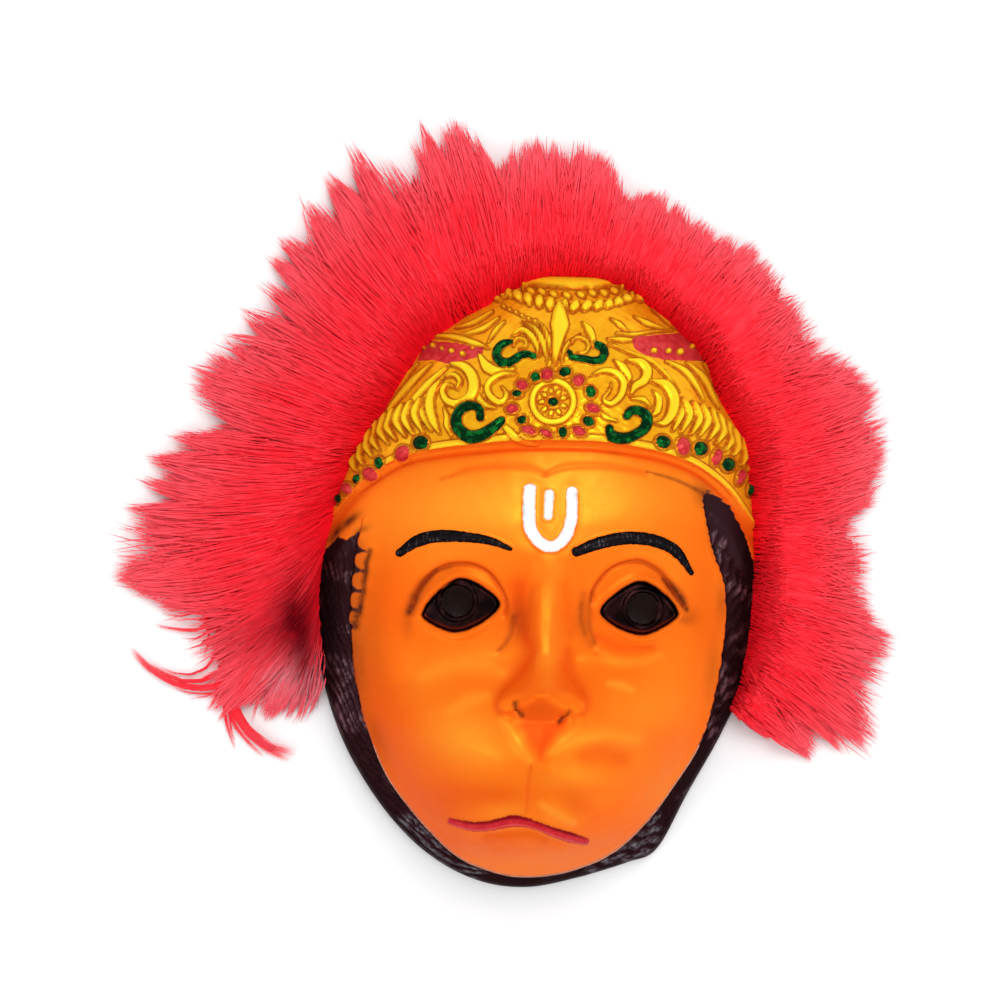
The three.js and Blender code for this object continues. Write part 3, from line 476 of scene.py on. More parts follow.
# The curls of hair that stay orange beside the left temple
TEMPLE_CURLS = [
    ((-53.9, -17.2), (3.4, 3.5)), ((-55.3, -25), (3.2, 3.5)), ((-56.7, -33.2), (2.9, 3.5)),
    ((-58, -41), (2.5, 3.2)), ((-59.3, -48.2), (2, 2.8)),
]
# Soft folds of the face, each a line, its half width and its height
FACE_FOLDS = [
    ([(22, -112.5), (19.6, -107.5), (23, -102.2), (31.4, -98.4), (46.5, -95.6), (56, -97)],
     (2.5, 4, 5, 5.5, 6, 4), 0.9),
    ([(20, -110), (26, -114), (34.4, -115.4), (44, -113.6)], (2.5, 4, 5, 4), 0.5),
    ([(0.6, -89.3), (4.6, -96), (8.6, -102.5), (12.4, -107.5)], (1.8, 2.4, 2.6, 2), 0.8),
    ([(34, -93), (27, -98.5), (21.5, -104.5)], (1.8, 2.4, 2), 0.5),
    ([(12.4, -62), (7.7, -69.7), (0.6, -77.7), (-2.3, -82.2), (-1.2, -87), (4.1, -89)],
     (3.5, 3.5, 2.6, 2, 1.6, 1.4), -1.1),
    ([(20.3, -26), (20.6, -40), (20.2, -54), (19, -70)], (3, 4.4, 4.6, 3), -0.3),
    ([(7, -81.5), (17, -80.4), (28.5, -83.5)], (3, 4.4, 3), -0.9),
    ([(5.6, -83.4), (7.2, -86.2), (9.2, -88.8)], (1, 1.4, 1), -0.5),
    ([(28.4, -87.2), (26, -88.6), (24.2, -91)], (1, 1.4, 1), -0.5),
    ([(-20.5, 10.1), (-5, 13.8), (9, 13.8), (18.3, 10.5)], (1.5, 1.6, 1.6, 1), -0.5),
    ([(18.3, 10.5), (28.1, 13.8), (45.4, 13.8), (60.3, 10.8)], (1, 1.6, 1.6, 1.5), -0.5),
    ([(28, -62), (29.4, -69.7), (33.4, -76.9), (37, -82.2), (35.8, -87.4), (31, -90)],
     (3.5, 3.5, 3, 2.6, 2, 1.4), -0.8),
    ([(7.4, -50.4), (6.6, -55), (3.4, -59.6), (-0.6, -62.6)], (0.8, 1.1, 1.1, 0.7), -0.6),
    ([(-31.4, -71.5), (-19.9, -67.1), (-6.5, -66.2), (0.6, -69.7)], (3, 4, 4, 2.5), 0.6),
    ([(-18.1, -85.7), (-11, -81.7), (-4.8, -80.4)], (2.5, 3, 2), 0.5),
    ([(40.6, -62), (48.6, -65.6), (57.5, -65.6), (66.5, -62)], (1.8, 2.6, 2.6, 1.8), 0.6),
    ([(45, -75), (49.5, -76), (54, -78)], (1.6, 2.2, 1.6), 0.4),
    ([(19.5, -123), (24, -127.5), (29, -131)], (2, 2.8, 2), 0.7),
    ([(13.3, -107), (12, -117), (11.5, -128)], (0.8, 1.2, 1), -0.35),
    ([(17, -108), (16.2, -117), (15.6, -126)], (0.8, 1.2, 1), 0.3),
    ([(12.3, 4.1), (11.9, -6.2), (13.5, -13.9), (19.7, -19), (25.8, -16.4), (29.2, -8),
      (29.5, 3.3)], (4.4, 4.6, 4.4, 4.4, 4.4, 4.2), -0.7),
    ([(-30, -8), (-8, -10.5), (8, -9)], (5, 6, 4), 0.5),
    ([(26, -34), (26.6, -50), (28, -62)], (3, 3.8, 3), 0.9),
    ([(14.6, -38), (13.8, -49), (12, -57)], (2.6, 3, 2.4), 0.8),
    ([(33, -9), (52, -8), (70, -14)], (4, 6, 5), 0.5),
]
# The nose's underside, which is painted darker as painted shade
NOSE_UNDERSIDE = [
    (7, -84), (12, -82), (17, -81.5), (23, -83.5), (29, -87), (29.5, -91), (24.5, -96.5),
    (20.2, -101.5), (17, -107), (12.6, -101.5), (7, -92.5),
]
# The lids' creases, each carved and painted with a line of painted shade
LID_CREASES = [
    [(-36.2, -44.4), (-33.7, -37.2), (-29, -31.1), (-22.8, -27.4), (-16.3, -26.4),
     (-10.1, -27.4), (-4, -31.1), (0.7, -37.7), (2.6, -42.4), (1.9, -47.1)],
    [(37.8, -41.5), (38.7, -36.8), (43, -31.1), (48.1, -27.4), (54.7, -25.5), (59.4, -25.9),
     (65.1, -29.2), (68.4, -33), (71.7, -38.7), (75.4, -43.8)],
]
# How high the ornaments stand, and their sizes where many are alike
FLUTE_HEIGHT = 1.9
EDGE_HOLLOW = {"down": 2.2, "half": (1.8, 2.4, 2.4, 1.8), "height": -0.9}
EDGE_ROLL = {"up": 1.4, "half": (1.5, 1.7, 1.5), "height": 1.1}
BAND_BEAD_HEIGHT = 1
PETAL_CIRCLE = 4.6
PETAL = {"radii": (1.7, 1.1), "height": 0.9}
MEDALLION_GEM = {"radii": (2.1, 1.8), "height": 1.6}
GEM_HEIGHT = 2.2
SETTING_BORDER = 0.9
SETTING_HEIGHT = 1.1
ROPE_BEAD = {"radii": (1.4, 0.9), "height": 1, "turn": -0.5}
ROPE_LOBE = {"radii": (2.9, 2), "height": 2.4}
ROPE_TWIST = 1.25
KNOB_NOTCH = {"radii": (2.3, 1.3), "height": 1.2, "turn": -0.5}
# The lids' swollen border lies this far outside the eye's opening
LID_OUT = 1.2
LID_BORDER = ((1.8, 1.8), 0.8)
LID_CUT = ((0.4, 0.8, 0.9, 0.8, 0.5), -1.1)
LID_DIP = ((1.4, 2, 2.2, 2, 1.4), -0.6)
# Each eye hole's raised ring: how far out it runs, its half width and its height
HOLE_RING = (1.6, 1.1, 0.9)
JAW_BORDER = ((1.4, 2, 2, 2, 1.4), 0.8)
TEMPLE_CURL_HEIGHT = 1.7
# The nostrils and the dip under the nose are shallower than the solid's by this much, and
# the wall behind each nostril is thicker by this much
NOSTRIL_FILL = 2.4
PHILTRUM_FILL = 1.3
NOSTRIL_WALL = {"more": 2.6, "spread": (6, 5)}
# A raised form has this much bare groove round it, and keeps this share of what it covers
GROOVE = 0.9
COVERED_SHARE = 0.4
# How deep inside a form a point lies is told up to this many millimetres, and beyond them not
DEPTH_LIMIT = 3.0
# Points this far past a form's edge are still worked on
MARGIN = 2.5
FAR_AWAY = 1e9
STROKE_STEPS = 10
RING_POINTS = 16
FLUTE_STEPS = 20


def limited(depth):
    return depth.clip(-DEPTH_LIMIT, DEPTH_LIMIT)


class Field:
    """The carving and the paint at every point of the shell's outer face."""

    def __init__(self, x, y):
        self.x, self.y = x, y
        self.raised = np.zeros_like(x)
        self.sunk = np.zeros_like(x)
        self.swell = np.zeros_like(x)
        self.relief = self.bare()

    def bare(self):
        """The depth of a paint that is nowhere yet."""
        return np.full_like(self.x, -DEPTH_LIMIT)

    def near(self, low, high, margin):
        """The places of the points inside a box, so that the work stays small."""
        return np.nonzero((self.x > low[0] - margin) & (self.x < high[0] + margin)
                          & (self.y > low[1] - margin) & (self.y < high[1] + margin))[0]

    def put(self, index, share, reach, height, power):
        """A rounded form whose edge is where share is 1. Reach is its half width."""
        lift = abs(height) * clamp(1 - share * share) ** power
        if height < 0:
            self.sunk[index] = np.maximum(self.sunk[index], lift)
            return
        inside = (1 - share) * reach
        beside = ease(0, GROOVE, -inside)
        under = self.raised[index]
        self.raised[index] = np.where(inside > 0, np.maximum(lift, COVERED_SHARE * under),
                                      under * beside)
        before = self.relief[index]
        around = np.where(before > 0, np.minimum(before, -inside), np.maximum(before, inside))
        self.relief[index] = np.where(inside > 0, inside, around)

    def measure(self, line, closed=False, margin=MARGIN, square=False):
        """The points near a line, how far across its half width each lies, and that width."""
        points, half, height = line
        curve = smooth_curve(points, closed, steps=STROKE_STEPS)
        if closed:
            curve = np.vstack([curve, curve[:1]])
        spread = np.linspace(0, len(half) - 1, len(curve))
        width = np.interp(spread, np.arange(len(half)), half)
        index = self.near(curve.min(0), curve.max(0), max(half) + margin)
        p = np.stack([self.x[index], self.y[index]], -1)
        best = np.full(len(index), FAR_AWAY)
        reach = np.ones(len(index))
        for k in range(len(curve) - 1):
            a, b = curve[k], curve[k + 1]
            along = b - a
            free = ((p - a) @ along) / (along @ along + 1e-12)
            t = clamp(free)
            off = np.hypot(*(p - a - t[:, None] * along).T)
            if square:
                past = np.where(k == 0, -free, 0) + np.where(k == len(curve) - 2, free - 1, 0)
                off = np.where(past > 0, FAR_AWAY, off)
            here = mix(width[k], width[k + 1], t)
            closer = off / here < best
            best = np.where(closer, off / here, best)
            reach = np.where(closer, here, reach)
        return index, best, reach

    def stroke(self, line, closed=False, power=0.6, square=False):
        """A line with its own width along it. It returns how far inside it each point lies."""
        index, share, reach = self.measure(line, closed, square=square)
        self.put(index, share, reach, line[2], power)
        return self.depth(index, share, reach)

    def fold(self, line):
        """A soft ridge or dent that fades out on both sides, added to what is there."""
        index, share, reach = self.measure(line, margin=2.2 * max(line[1]))
        self.swell[index] += line[2] * np.exp(-(share * share))

    def depth(self, index, share, reach):
        inside = self.bare()
        inside[index] = np.maximum((1 - share) * reach, -DEPTH_LIMIT)
        return inside

    def dome(self, at, radii, height, turn=0.0, power=0.6):
        """A rounded stud on an ellipse. It returns how far inside it each point lies."""
        size = max(radii)
        index = self.near(np.array(at) - size, np.array(at) + size, MARGIN)
        along, across = turned(self.x[index] - at[0], self.y[index] - at[1], turn)
        share = np.hypot(along / radii[0], across / radii[1])
        reach = math.sqrt(radii[0] * radii[1])
        self.put(index, share, reach, height, power)
        return self.depth(index, share, reach)


def inside_polygon(x, y, corners):
    """How far inside a polygon each point lies, and below zero outside it."""
    p = np.array(corners, float)
    inside = np.zeros(x.shape, bool)
    distance = np.full(x.shape, FAR_AWAY)
    for (ax, ay), (bx, by) in zip(p, np.roll(p, -1, 0)):
        crosses = (ay > y) != (by > y)
        at = ax + (y - ay) / (by - ay + 1e-12) * (bx - ax)
        inside ^= crosses & (x < at)
        t = clamp(((x - ax) * (bx - ax) + (y - ay) * (by - ay))
                  / ((bx - ax) ** 2 + (by - ay) ** 2))
        distance = np.minimum(distance, np.hypot(x - ax - t * (bx - ax), y - ay - t * (by - ay)))
    return limited(np.where(inside, distance, -distance))


def ring_line(centre, radius, half, height):
    around = [2 * math.pi * i / RING_POINTS for i in range(RING_POINTS)]
    points = [(centre[0] + radius * math.cos(a), centre[1] + radius * math.sin(a))
              for a in around]
    return points, (half, half), height


def carve_flutes(field):
    tops, bellies, feet = (smooth_curve(line, steps=FLUTE_STEPS)
                           for line in (FLUTE_TOPS, FLUTE_BELLIES, FLUTE_FEET))
    for side in (1, -1):
        for k in range(FLUTES_A_SIDE):
            at = round(k / (FLUTES_A_SIDE - 1) * (len(tops) - 1))
            points = [(CROWN_AXIS + side * line[at, 0], line[at, 1])
                      for line in (tops, bellies, feet)]
            field.stroke((points, FLUTE_HALF, FLUTE_HEIGHT))


def carve_crown_edge(field):
    """The hollow under the crown's edge and the roll along it."""
    hollow = [(x, y - EDGE_HOLLOW["down"]) for x, y in CROWN_EDGE[1:-1]]
    roll = [(x, y + EDGE_ROLL["up"]) for x, y in CROWN_EDGE]
    field.stroke((hollow, EDGE_HOLLOW["half"], EDGE_HOLLOW["height"]), power=1.4)
    field.stroke((roll, EDGE_ROLL["half"], EDGE_ROLL["height"]))


def carve_medallion(field):
    """The rings and petals round the medallion's green gem. It returns the gem's depth."""
    for radius, half, height in MEDALLION_RINGS:
        field.stroke(ring_line(MEDALLION, radius, half, height), closed=True)
    for i in range(PETALS):
        angle = 2 * math.pi * (i + 0.5) / PETALS
        at = (MEDALLION[0] + PETAL_CIRCLE * math.cos(angle),
              MEDALLION[1] + PETAL_CIRCLE * math.sin(angle))
        field.dome(at, **PETAL, turn=angle)
    return field.dome(MEDALLION, **MEDALLION_GEM)


def carve_knob(field):
    """The rope of beads, the knob over it and the leaf in the middle."""
    for at in ROPE_BEADS:
        field.dome(at, **ROPE_BEAD)
    for at, turn in ROPE_LOBES:
        field.dome(at, **ROPE_LOBE, turn=turn + ROPE_TWIST)
    field.dome(*KNOB_CAP)
    field.stroke(KNOB_ROLL)
    for at in KNOB_NOTCHES:
        field.dome(at, **KNOB_NOTCH)
    field.stroke(CENTRE_LEAF, power=0.8)


def carve_crown(field):
    """The crown's ornaments. It returns its green and its red paint, as depths inside."""
    green, red = field.bare(), field.bare()
    for line in FOLDS:
        field.stroke(line, power=1.0)
    for corners in RED_BANDS:
        red = np.maximum(red, inside_polygon(field.x, field.y, corners))
    for at, radius in BAND_BEADS:
        red = np.minimum(red, -field.dome(at, (radius, 0.9 * radius), BAND_BEAD_HEIGHT))
    carve_flutes(field)
    carve_crown_edge(field)
    for line in SCROLLS:
        field.stroke(line)
    for line in GREEN_HOOKS:
        green = np.maximum(green, field.stroke(line))
    green = np.maximum(green, carve_medallion(field))
    for at, radii, turn, is_green in GEMS:
        setting = (radii[0] + SETTING_BORDER, radii[1] + SETTING_BORDER)
        field.dome(at, setting, SETTING_HEIGHT, turn)
        gem = field.dome(at, radii, GEM_HEIGHT, turn)
        if is_green:
            green = np.maximum(green, gem)
        else:
            red = np.maximum(red, gem)
    carve_knob(field)
    return green, red


def carve_eyes(field):
    """The lids and the rings round the holes. It returns the depth of the painted shade in the lids'
    creases.
    """
    for eye in EYES:
        middle = np.array(eye["at"])
        lid = [mix(middle, np.array(p), 1 + LID_OUT / math.dist(middle, p))
               for p in eye["opening"]]
        field.fold((lid + lid[:1], *LID_BORDER))
    out, half, height = HOLE_RING
    for at in EYE_HOLES:
        ring = ring_line(at, EYE_HOLE_RADIUS + out, half, height)
        field.stroke(ring, closed=True, power=1.0)
    lid_crease_shade = field.bare()
    for crease in LID_CREASES:
        lid_crease_shade = np.maximum(lid_crease_shade, field.stroke((crease, *LID_CUT), power=0.8))
        field.fold((crease, *LID_DIP))
    return lid_crease_shade


def carve_face(field):
    """The brows, the forehead mark, the lids and the mouth, with the depth of each paint."""
    brow, white = field.bare(), field.bare()
    for line in BROWS:
        brow = np.maximum(brow, field.stroke(line))
    for line in FOREHEAD_MARK:
        white = np.maximum(white, field.stroke(line, square=True))
    lid_crease_shade = carve_eyes(field)
    lips = field.stroke(LIPS, power=0.8)
    field.fold(UNDER_LIP)
    for at in NOSTRILS:
        field.swell += NOSTRIL_FILL * soft_spot(field.x, field.y, at, NOSTRIL_SPREAD)
    field.swell += PHILTRUM_FILL * soft_spot(field.x, field.y, PHILTRUM, PHILTRUM_SPREAD)
    for line in FACE_FOLDS:
        field.fold(line)
    for at, radii in TEMPLE_CURLS:
        field.swell += TEMPLE_CURL_HEIGHT * soft_spot(field.x, field.y, at, radii)
    field.fold((JAW, *JAW_BORDER))
    return {"brow": brow, "white": white, "lips": lips, "lid_crease_shade": lid_crease_shade}


def lip_side(x, y):
    """How far over or under the middle of the lips each point lies, in half widths."""
    middle = smooth_curve(LIPS[0])
    return limited((y - np.interp(x, middle[:, 0], middle[:, 1])) / LIP_HALF)


# Locks of the moulded beard fringe. On the left they run along the jaw, on the right across it.
# The sines that make them uneven are chosen
LOCK_REACH = 92
LOCK_RISE = 1.25
LOCK_FINE = 0.14
FRINGE_SUNK = 1.6
LEFT_LOCKS = {"pitch": 9.0, "lean": 4.4}
RIGHT_LOCKS = {"pitch": 7.8, "lean": -1.7}
# Where the left locks turn into the right ones, as an angle
LOCK_CHANGE = (-1.75, -1.3)


def lock_crest(locks, length, outside, sway):
    """How near each point is to the top of a lock, from 0 to 1."""
    phase = (length + locks["lean"] * outside) / locks["pitch"] + sway
    main = np.abs(np.sin(math.pi * phase)) ** 0.8
    split = np.abs(np.sin(math.pi * (2.6 * phase + 0.4 * np.sin(length / 5.7))))
    return main * (0.68 + 0.32 * split)


def fringe(x, y, share):
    """The fringe's height over the form, and how near each point is to the top of a lock."""
    angle, radius = polar(x, y)
    outside = radius - face_radius(angle)
    turn = np.where(angle > math.pi / 2, angle - 2 * math.pi, angle)
    length = turn * LOCK_REACH
    sway = 0.34 * np.sin(length / 8.3 + 0.9 * np.sin(outside / 2.7))
    sway = sway + 0.14 * np.sin(length / 3.1 + outside)
    bold = 0.62 + 0.38 * np.sin(length / 9.7 + 1.6 * np.sin(length / 5.2) + outside / 5)
    left, right = (lock_crest(locks, length, outside, sway)
                   for locks in (LEFT_LOCKS, RIGHT_LOCKS))
    crest = bold * mix(left, right, ease(*LOCK_CHANGE, turn))
    fine = np.sin(length * 1.9 + outside * 2.6 + 3 * sway)
    beard = ease(0, 2, outside) * (1 - ease(-14, -10, above_crown_edge(x, y)))
    rise = LOCK_RISE * crest + LOCK_FINE * fine - FRINGE_SUNK
    return beard * rise * (1 - ease(0.96, 1, share)), crest * beard, outside


# The shell's mesh: a grid whose rows are closer over the crown
COLUMNS = 256
ROWS = 352
INNER_EVERY = 4
CROWN_FROM = 0.3
CROWN_ROWS = 0.5
SIDE_SHARE = 0.8


def disc_place(across, up):
    """A square's grid laid on a disc and spread, so that the steep sides get rows too."""
    u = across * np.sqrt(1 - up * up / 2)
    v = up * np.sqrt(1 - across * across / 2)
    even = np.minimum(1, np.hypot(u, v))
    gain = 1 / (SIDE_SHARE * 2 * (1 - SIDE_SHARE) + (1 - SIDE_SHARE) ** 2)
    share = np.where(even < SIDE_SHARE, 2 * (1 - SIDE_SHARE) * gain * even,
                     1 - gain * (1 - even) ** 2)
    return np.arctan2(v, u), share


def shell_places():
    """The angle and the share of the way out of each corner of the outer grid."""
    row = np.arange(ROWS + 1) / ROWS
    turn = 1 - CROWN_ROWS
    up = np.where(row < turn, mix(-1, CROWN_FROM, row / turn),
                  mix(CROWN_FROM, 1, (row - turn) / CROWN_ROWS))
    across = np.linspace(-1, 1, COLUMNS + 1)
    angle, share = disc_place(across[None, :], up[:, None])
    share[[0, -1], :] = 1
    share[:, [0, -1]] = 1
    return angle, share


def grid_edge(rows, columns):
    """The grid's border, anticlockwise from its lower left corner."""
    low = [(0, i) for i in range(columns)]
    right = [(j, columns) for j in range(rows)]
    high = [(rows, i) for i in range(columns, 0, -1)]
    left = [(j, 0) for j in range(rows, 0, -1)]
    return [j * (columns + 1) + i for j, i in low + right + high + left]


def grid_faces(rows, columns, start=0, facing_out=True):
    j, i = np.meshgrid(np.arange(rows), np.arange(columns), indexing="ij")
    a = (j * (columns + 1) + i).ravel() + start
    quad = [a, a + 1, a + columns + 2, a + columns + 1]
    return np.stack(quad if facing_out else quad[::-1], -1)


def new_mesh(name, points, faces, smooth=True):
    """An object of quads and triangles. Points are in the row frame."""
    mesh = bpy.data.meshes.new(name)
    sizes = np.concatenate([np.full(len(f), f.shape[1]) for f in faces])
    corners = np.concatenate([f.ravel() for f in faces]).astype(np.int32)
    mesh.vertices.add(len(points))
    mesh.vertices.foreach_set("co", np.asarray(points, np.float32).ravel())
    mesh.loops.add(len(corners))
    mesh.loops.foreach_set("vertex_index", corners)
    mesh.polygons.add(len(sizes))
    starts = np.concatenate([[0], np.cumsum(sizes)[:-1]]).astype(np.int32)
    mesh.polygons.foreach_set("loop_start", starts)
    mesh.update(calc_edges=True)
    mesh.validate()
    if smooth:
        mesh.shade_smooth()
    else:
        mesh.shade_flat()
    made = bpy.data.objects.new(name, mesh)
    bpy.context.scene.collection.objects.link(made)
    return made


def put_attribute(made, name, values):
    layer = made.data.attributes.new(name, "FLOAT", "POINT")
    layer.data.foreach_set("value", np.asarray(values, np.float32).ravel())


# Soft patches: place, spread, turn and strength. Soft lines: points, half width and strength.
# Some are airbrush paint, others are painted shade and painted highlight
# Dark smudges: airbrush paint at the ends of the lids, beside the nose, at the temples and along the
# fringe's edge, and painted shade below the left eye's outer corner and in the nostrils
SMUDGE_AND_SHADE = [
    ((79, -47.5), (3, 4), 0, 0.25), ((-38, -50), (2.5, 7), 0, 0.25),
    ((-59, -68), (3.6, 22), 0.06, 0.5), ((-51, -97), (4, 13), 0.4, 0.3),
    ((-61.5, -8.5), (4.6, 1.7), 0.7, 0.95), ((-67.5, -14), (1.8, 5.4), -0.6, 0.95),
    ((-57, -12.5), (3.4, 1.6), 0.4, 0.6), ((87, -70), (3, 14), -0.1, 0.25),
    ((84, 1), (3.4, 6), 0.5, 0.75), ((88, -18), (2.6, 9), 0.3, 0.6),
    ((7.6, -47.5), (3.4, 8), 0, 0.36), ((90.5, -42), (2, 8), 0, 0.35),
    ((-53.5, -58), (7, 26), 0.05, 0.16),
]
SMUDGE_AND_SHADE_LINES = [
    ([(-26.5, -29.2), (-31.4, -34.2), (-35, -40.2), (-37.4, -46)], (0.8, 1.7, 2.2, 1.6), 0.85),
    ([(-20, -27.6), (-26.5, -29.4)], (0.7, 0.9), 0.4),
    ([(-52.7, -20.5), (-54.3, -28.7), (-55.4, -36.9), (-57, -45.1), (-58.8, -52)],
     (0.8, 1, 1, 1.1, 1.3), 0.95),
    ([(-56.5, -18), (-58.5, -34), (-60.5, -48)], (2.4, 2.2, 1.8), 0.3),
    ([(5.6, -48.3), (4.8, -54), (1.6, -59.4), (-1.4, -62.4)], (1.6, 1.7, 1.4, 0.9), 0.45),
    ([(67, -32.4), (70.8, -36.2), (74.4, -40.4), (76.6, -45)], (0.8, 2.2, 2.1, 1), 0.95),
    ([(69.9, -46.6), (76.2, -49.3)], (2.4, 2), 0.3),
    ([(34.2, -39), (33.4, -49.3), (35.2, -56.4), (39.4, -61.6)], (2.4, 3.4, 3, 2), 0.3),
    ([(33.4, -42), (33.2, -48.8), (34.8, -55)], (0.9, 1.2, 0.9), 0.3),
    ([(38, -38), (37, -45), (36.8, -52), (39, -59)], (1.1, 1.4, 1.2, 0.9), 0.35),
    # Painted shade in the nostrils
    ([(5.9, -83.2), (7.4, -86), (9.2, -88.4)], (1, 1.3, 1), 0.95),
    ([(28.2, -87.2), (26.2, -88.7), (24.3, -90.8)], (1, 1.3, 1), 0.95),
    ([(60.3, 11.7), (71.8, 8.3), (82, 3.4), (86, 0)], (0.5, 0.8, 0.9, 0.8), 0.6),
]
# Red-orange: airbrush paint round the eyes, and painted shade on the lower left of the face, beside
# the nose, in the creases of the nose, lids and muzzle, round the forehead mark, under the crown's
# edge and under the lip
BLUSH_AND_SHADE = [
    ((-16.8, -42), (30, 17), 0, 0.6), ((57.8, -43), (30, 17), 0, 0.55),
    ((18, -79), (11, 8), 0, 0.4), ((16, -66), (11, 20), 0, 0.3),
    ((-9, -121), (19, 5), 0, 0.55), ((32, -124.5), (9, 6), -0.6, 0.5),
    ((8, -141), (34, 5), 0, 0.4), ((-22, -128), (12, 14), 0.7, 0.4), ((-50, -85), (14, 40), 0.2, 0.8),
    ((-30, -118), (15, 22), 0.6, 0.45), ((64, -108), (16, 20), -0.6, 0.15),
    ((-46, -40), (10, 20), 0, 0.35), ((84, -60), (9, 40), 0, 0.3),
]
BLUSH_AND_SHADE_LINES = [
    ([(7.7, -36), (8.5, -47), (12, -58)], (5, 6, 4), 1.0),
    ([(26.4, -34), (28.4, -54.6)], (3, 3), 0.4),
    ([(12.4, -62), (7.7, -69.7), (0.6, -77.7), (-2.1, -82.2), (-1.2, -86.6), (5, -88)],
     (2.4, 2.6, 1.8, 1.4, 1.3, 1.2), 0.75),
    ([(28, -62), (29.4, -69.7), (33.4, -76.9), (36.6, -82.2), (35.3, -87), (30.8, -89)],
     (2.4, 2.6, 2.2, 2, 1.6, 1.2), 0.6),
    ([(40, -56), (50, -60.5), (62, -60.5)], (2.4, 3, 2.4), 0.7),
    ([(10.4, 4.1), (9.6, -6.2), (11.4, -15.4), (19.7, -21.6), (27.9, -17.6), (31.6, -8),
      (31.8, 3.3)], (1, 1.2, 1.4, 1.6, 1.4, 1.2, 1), 0.6),
    ([(34.4, -104.9), (42, -104), (50, -106)], (4, 5, 4), 0.55),
    ([(-24, 8.6), (-14, 12.4), (-5, 13.8), (9, 13.6), (18.3, 10.6)], (1, 1.3, 1.4, 1.4, 0.9), 0.6),
    ([(18.3, 10.6), (28.1, 13.6), (45.4, 13.8), (60.3, 11.2)], (0.9, 1.4, 1.4, 1.2), 0.6),
    ([(12.6, -108), (11.6, -117), (11, -128)], (0.7, 1, 0.8), 0.5),
    ([(-6, -138.6), (1.4, -138), (8.6, -137.4), (13.4, -137.6), (18.8, -140)], (1.6, 2, 1.6), 0.6),
]
# Painted highlights: paler patches and lines on the forehead, cheeks, nose ridge and muzzle
PAINTED_HIGHLIGHTS = [
    ((-8, -2), (34, 13), 0.05, 1.0), ((42, 1), (32, 14), -0.05, 0.9),
    ((-14, -98), (17, 12), -0.3, 0.95), ((62, -86), (14, 10), 0, 0.35),
    ((68, -118), (14, 14), 0.8, 0.35), ((30, -114), (14, 4), 0, 0.45),
    ((2, -127), (9, 3), 0.2, 0.4),
]
PAINTED_HIGHLIGHT_LINES = [
    ([(20.6, -20), (21, -36), (20.6, -50), (19.6, -66)], (3.4, 4.6, 4.6, 3), 0.35),
    ([(19.4, -64), (19.2, -74.5)], (4, 3.4), 0.55),
    ([(17, -124.5), (22, -127.5), (30, -132)], (1.6, 2.8, 1.8), 0.75),
    ([(-31.4, -72), (-19.9, -68), (-6.5, -67), (0.6, -70)], (4, 5, 5, 3), 0.5),
    ([(-20, -86.5), (-12, -82), (-5.5, -80.4)], (2.4, 3.4, 2.2), 0.6),
    ([(40.6, -62.6), (48.6, -66.2), (57.5, -66.2), (65.5, -63.5)], (1.4, 2, 2, 1.4), 0.4),
    ([(44.5, -75), (49.5, -76), (54, -78)], (1.2, 1.8, 1.2), 0.8),
    ([(20, -103.5), (26.4, -100.2), (35.3, -97), (44.1, -96.4), (55, -98)],
     (1.6, 2.8, 3.4, 3.4, 2.6), 0.6),
    ([(0.4, -90.5), (4.6, -97), (8.8, -103), (12.2, -107.5)], (1.4, 2.2, 2.2, 1.4), 0.6),
]


def soft_patches(field, spots, lines=()):
    clear = np.ones_like(field.x)
    for at, spread, turn, strength in spots:
        clear *= 1 - strength * soft_spot(field.x, field.y, at, spread, turn)
    for points, half, strength in lines:
        index, share, reach = field.measure((points, half, 0), margin=2 * max(half))
        clear[index] *= 1 - strength * np.exp(-share * share)
    return 1 - clear


HAIR_LINE = [
    (-59, -11), (-54.6, -18), (-53.5, -22.6), (-54.9, -29.1), (-55.8, -36.5), (-57.4, -44.7),
    (-59.2, -50.8), (-60.5, -57.4), (-60.3, -63.6), (-58.6, -75.4), (-56.6, -88.2),
    (-52, -99.2), (-47.5, -108),
]
LEFT_HAIR_TOP = [(-74, -22), (-69.7, -18.6), (-66.4, -15), (-63.1, -16.4), (-58.2, -12.4),
                 (-54.9, -15), (-50, -22)]
RIGHT_HAIR_TOP = [(70, -8), (80, -3), (84.5, 4.4), (88, 3.2), (94.3, -1.8), (100.5, -13.9), (105, -28)]
# The sides of the face, as x of the temples, and the heights between which the fringe is ragged
TEMPLES = (-40, 40)
FRINGE_FOOT = -95
# The hammered ground's height, where the ornaments sink into the rim as a share of the way
# out, and the heights between which the crests' brushed paint and painted highlight turn to slate grey
HAMMER_HEIGHT = 0.16
SETTLE_FROM = (0.975, 1)
SLATE_HIGHLIGHT_FROM = (-95, -135)


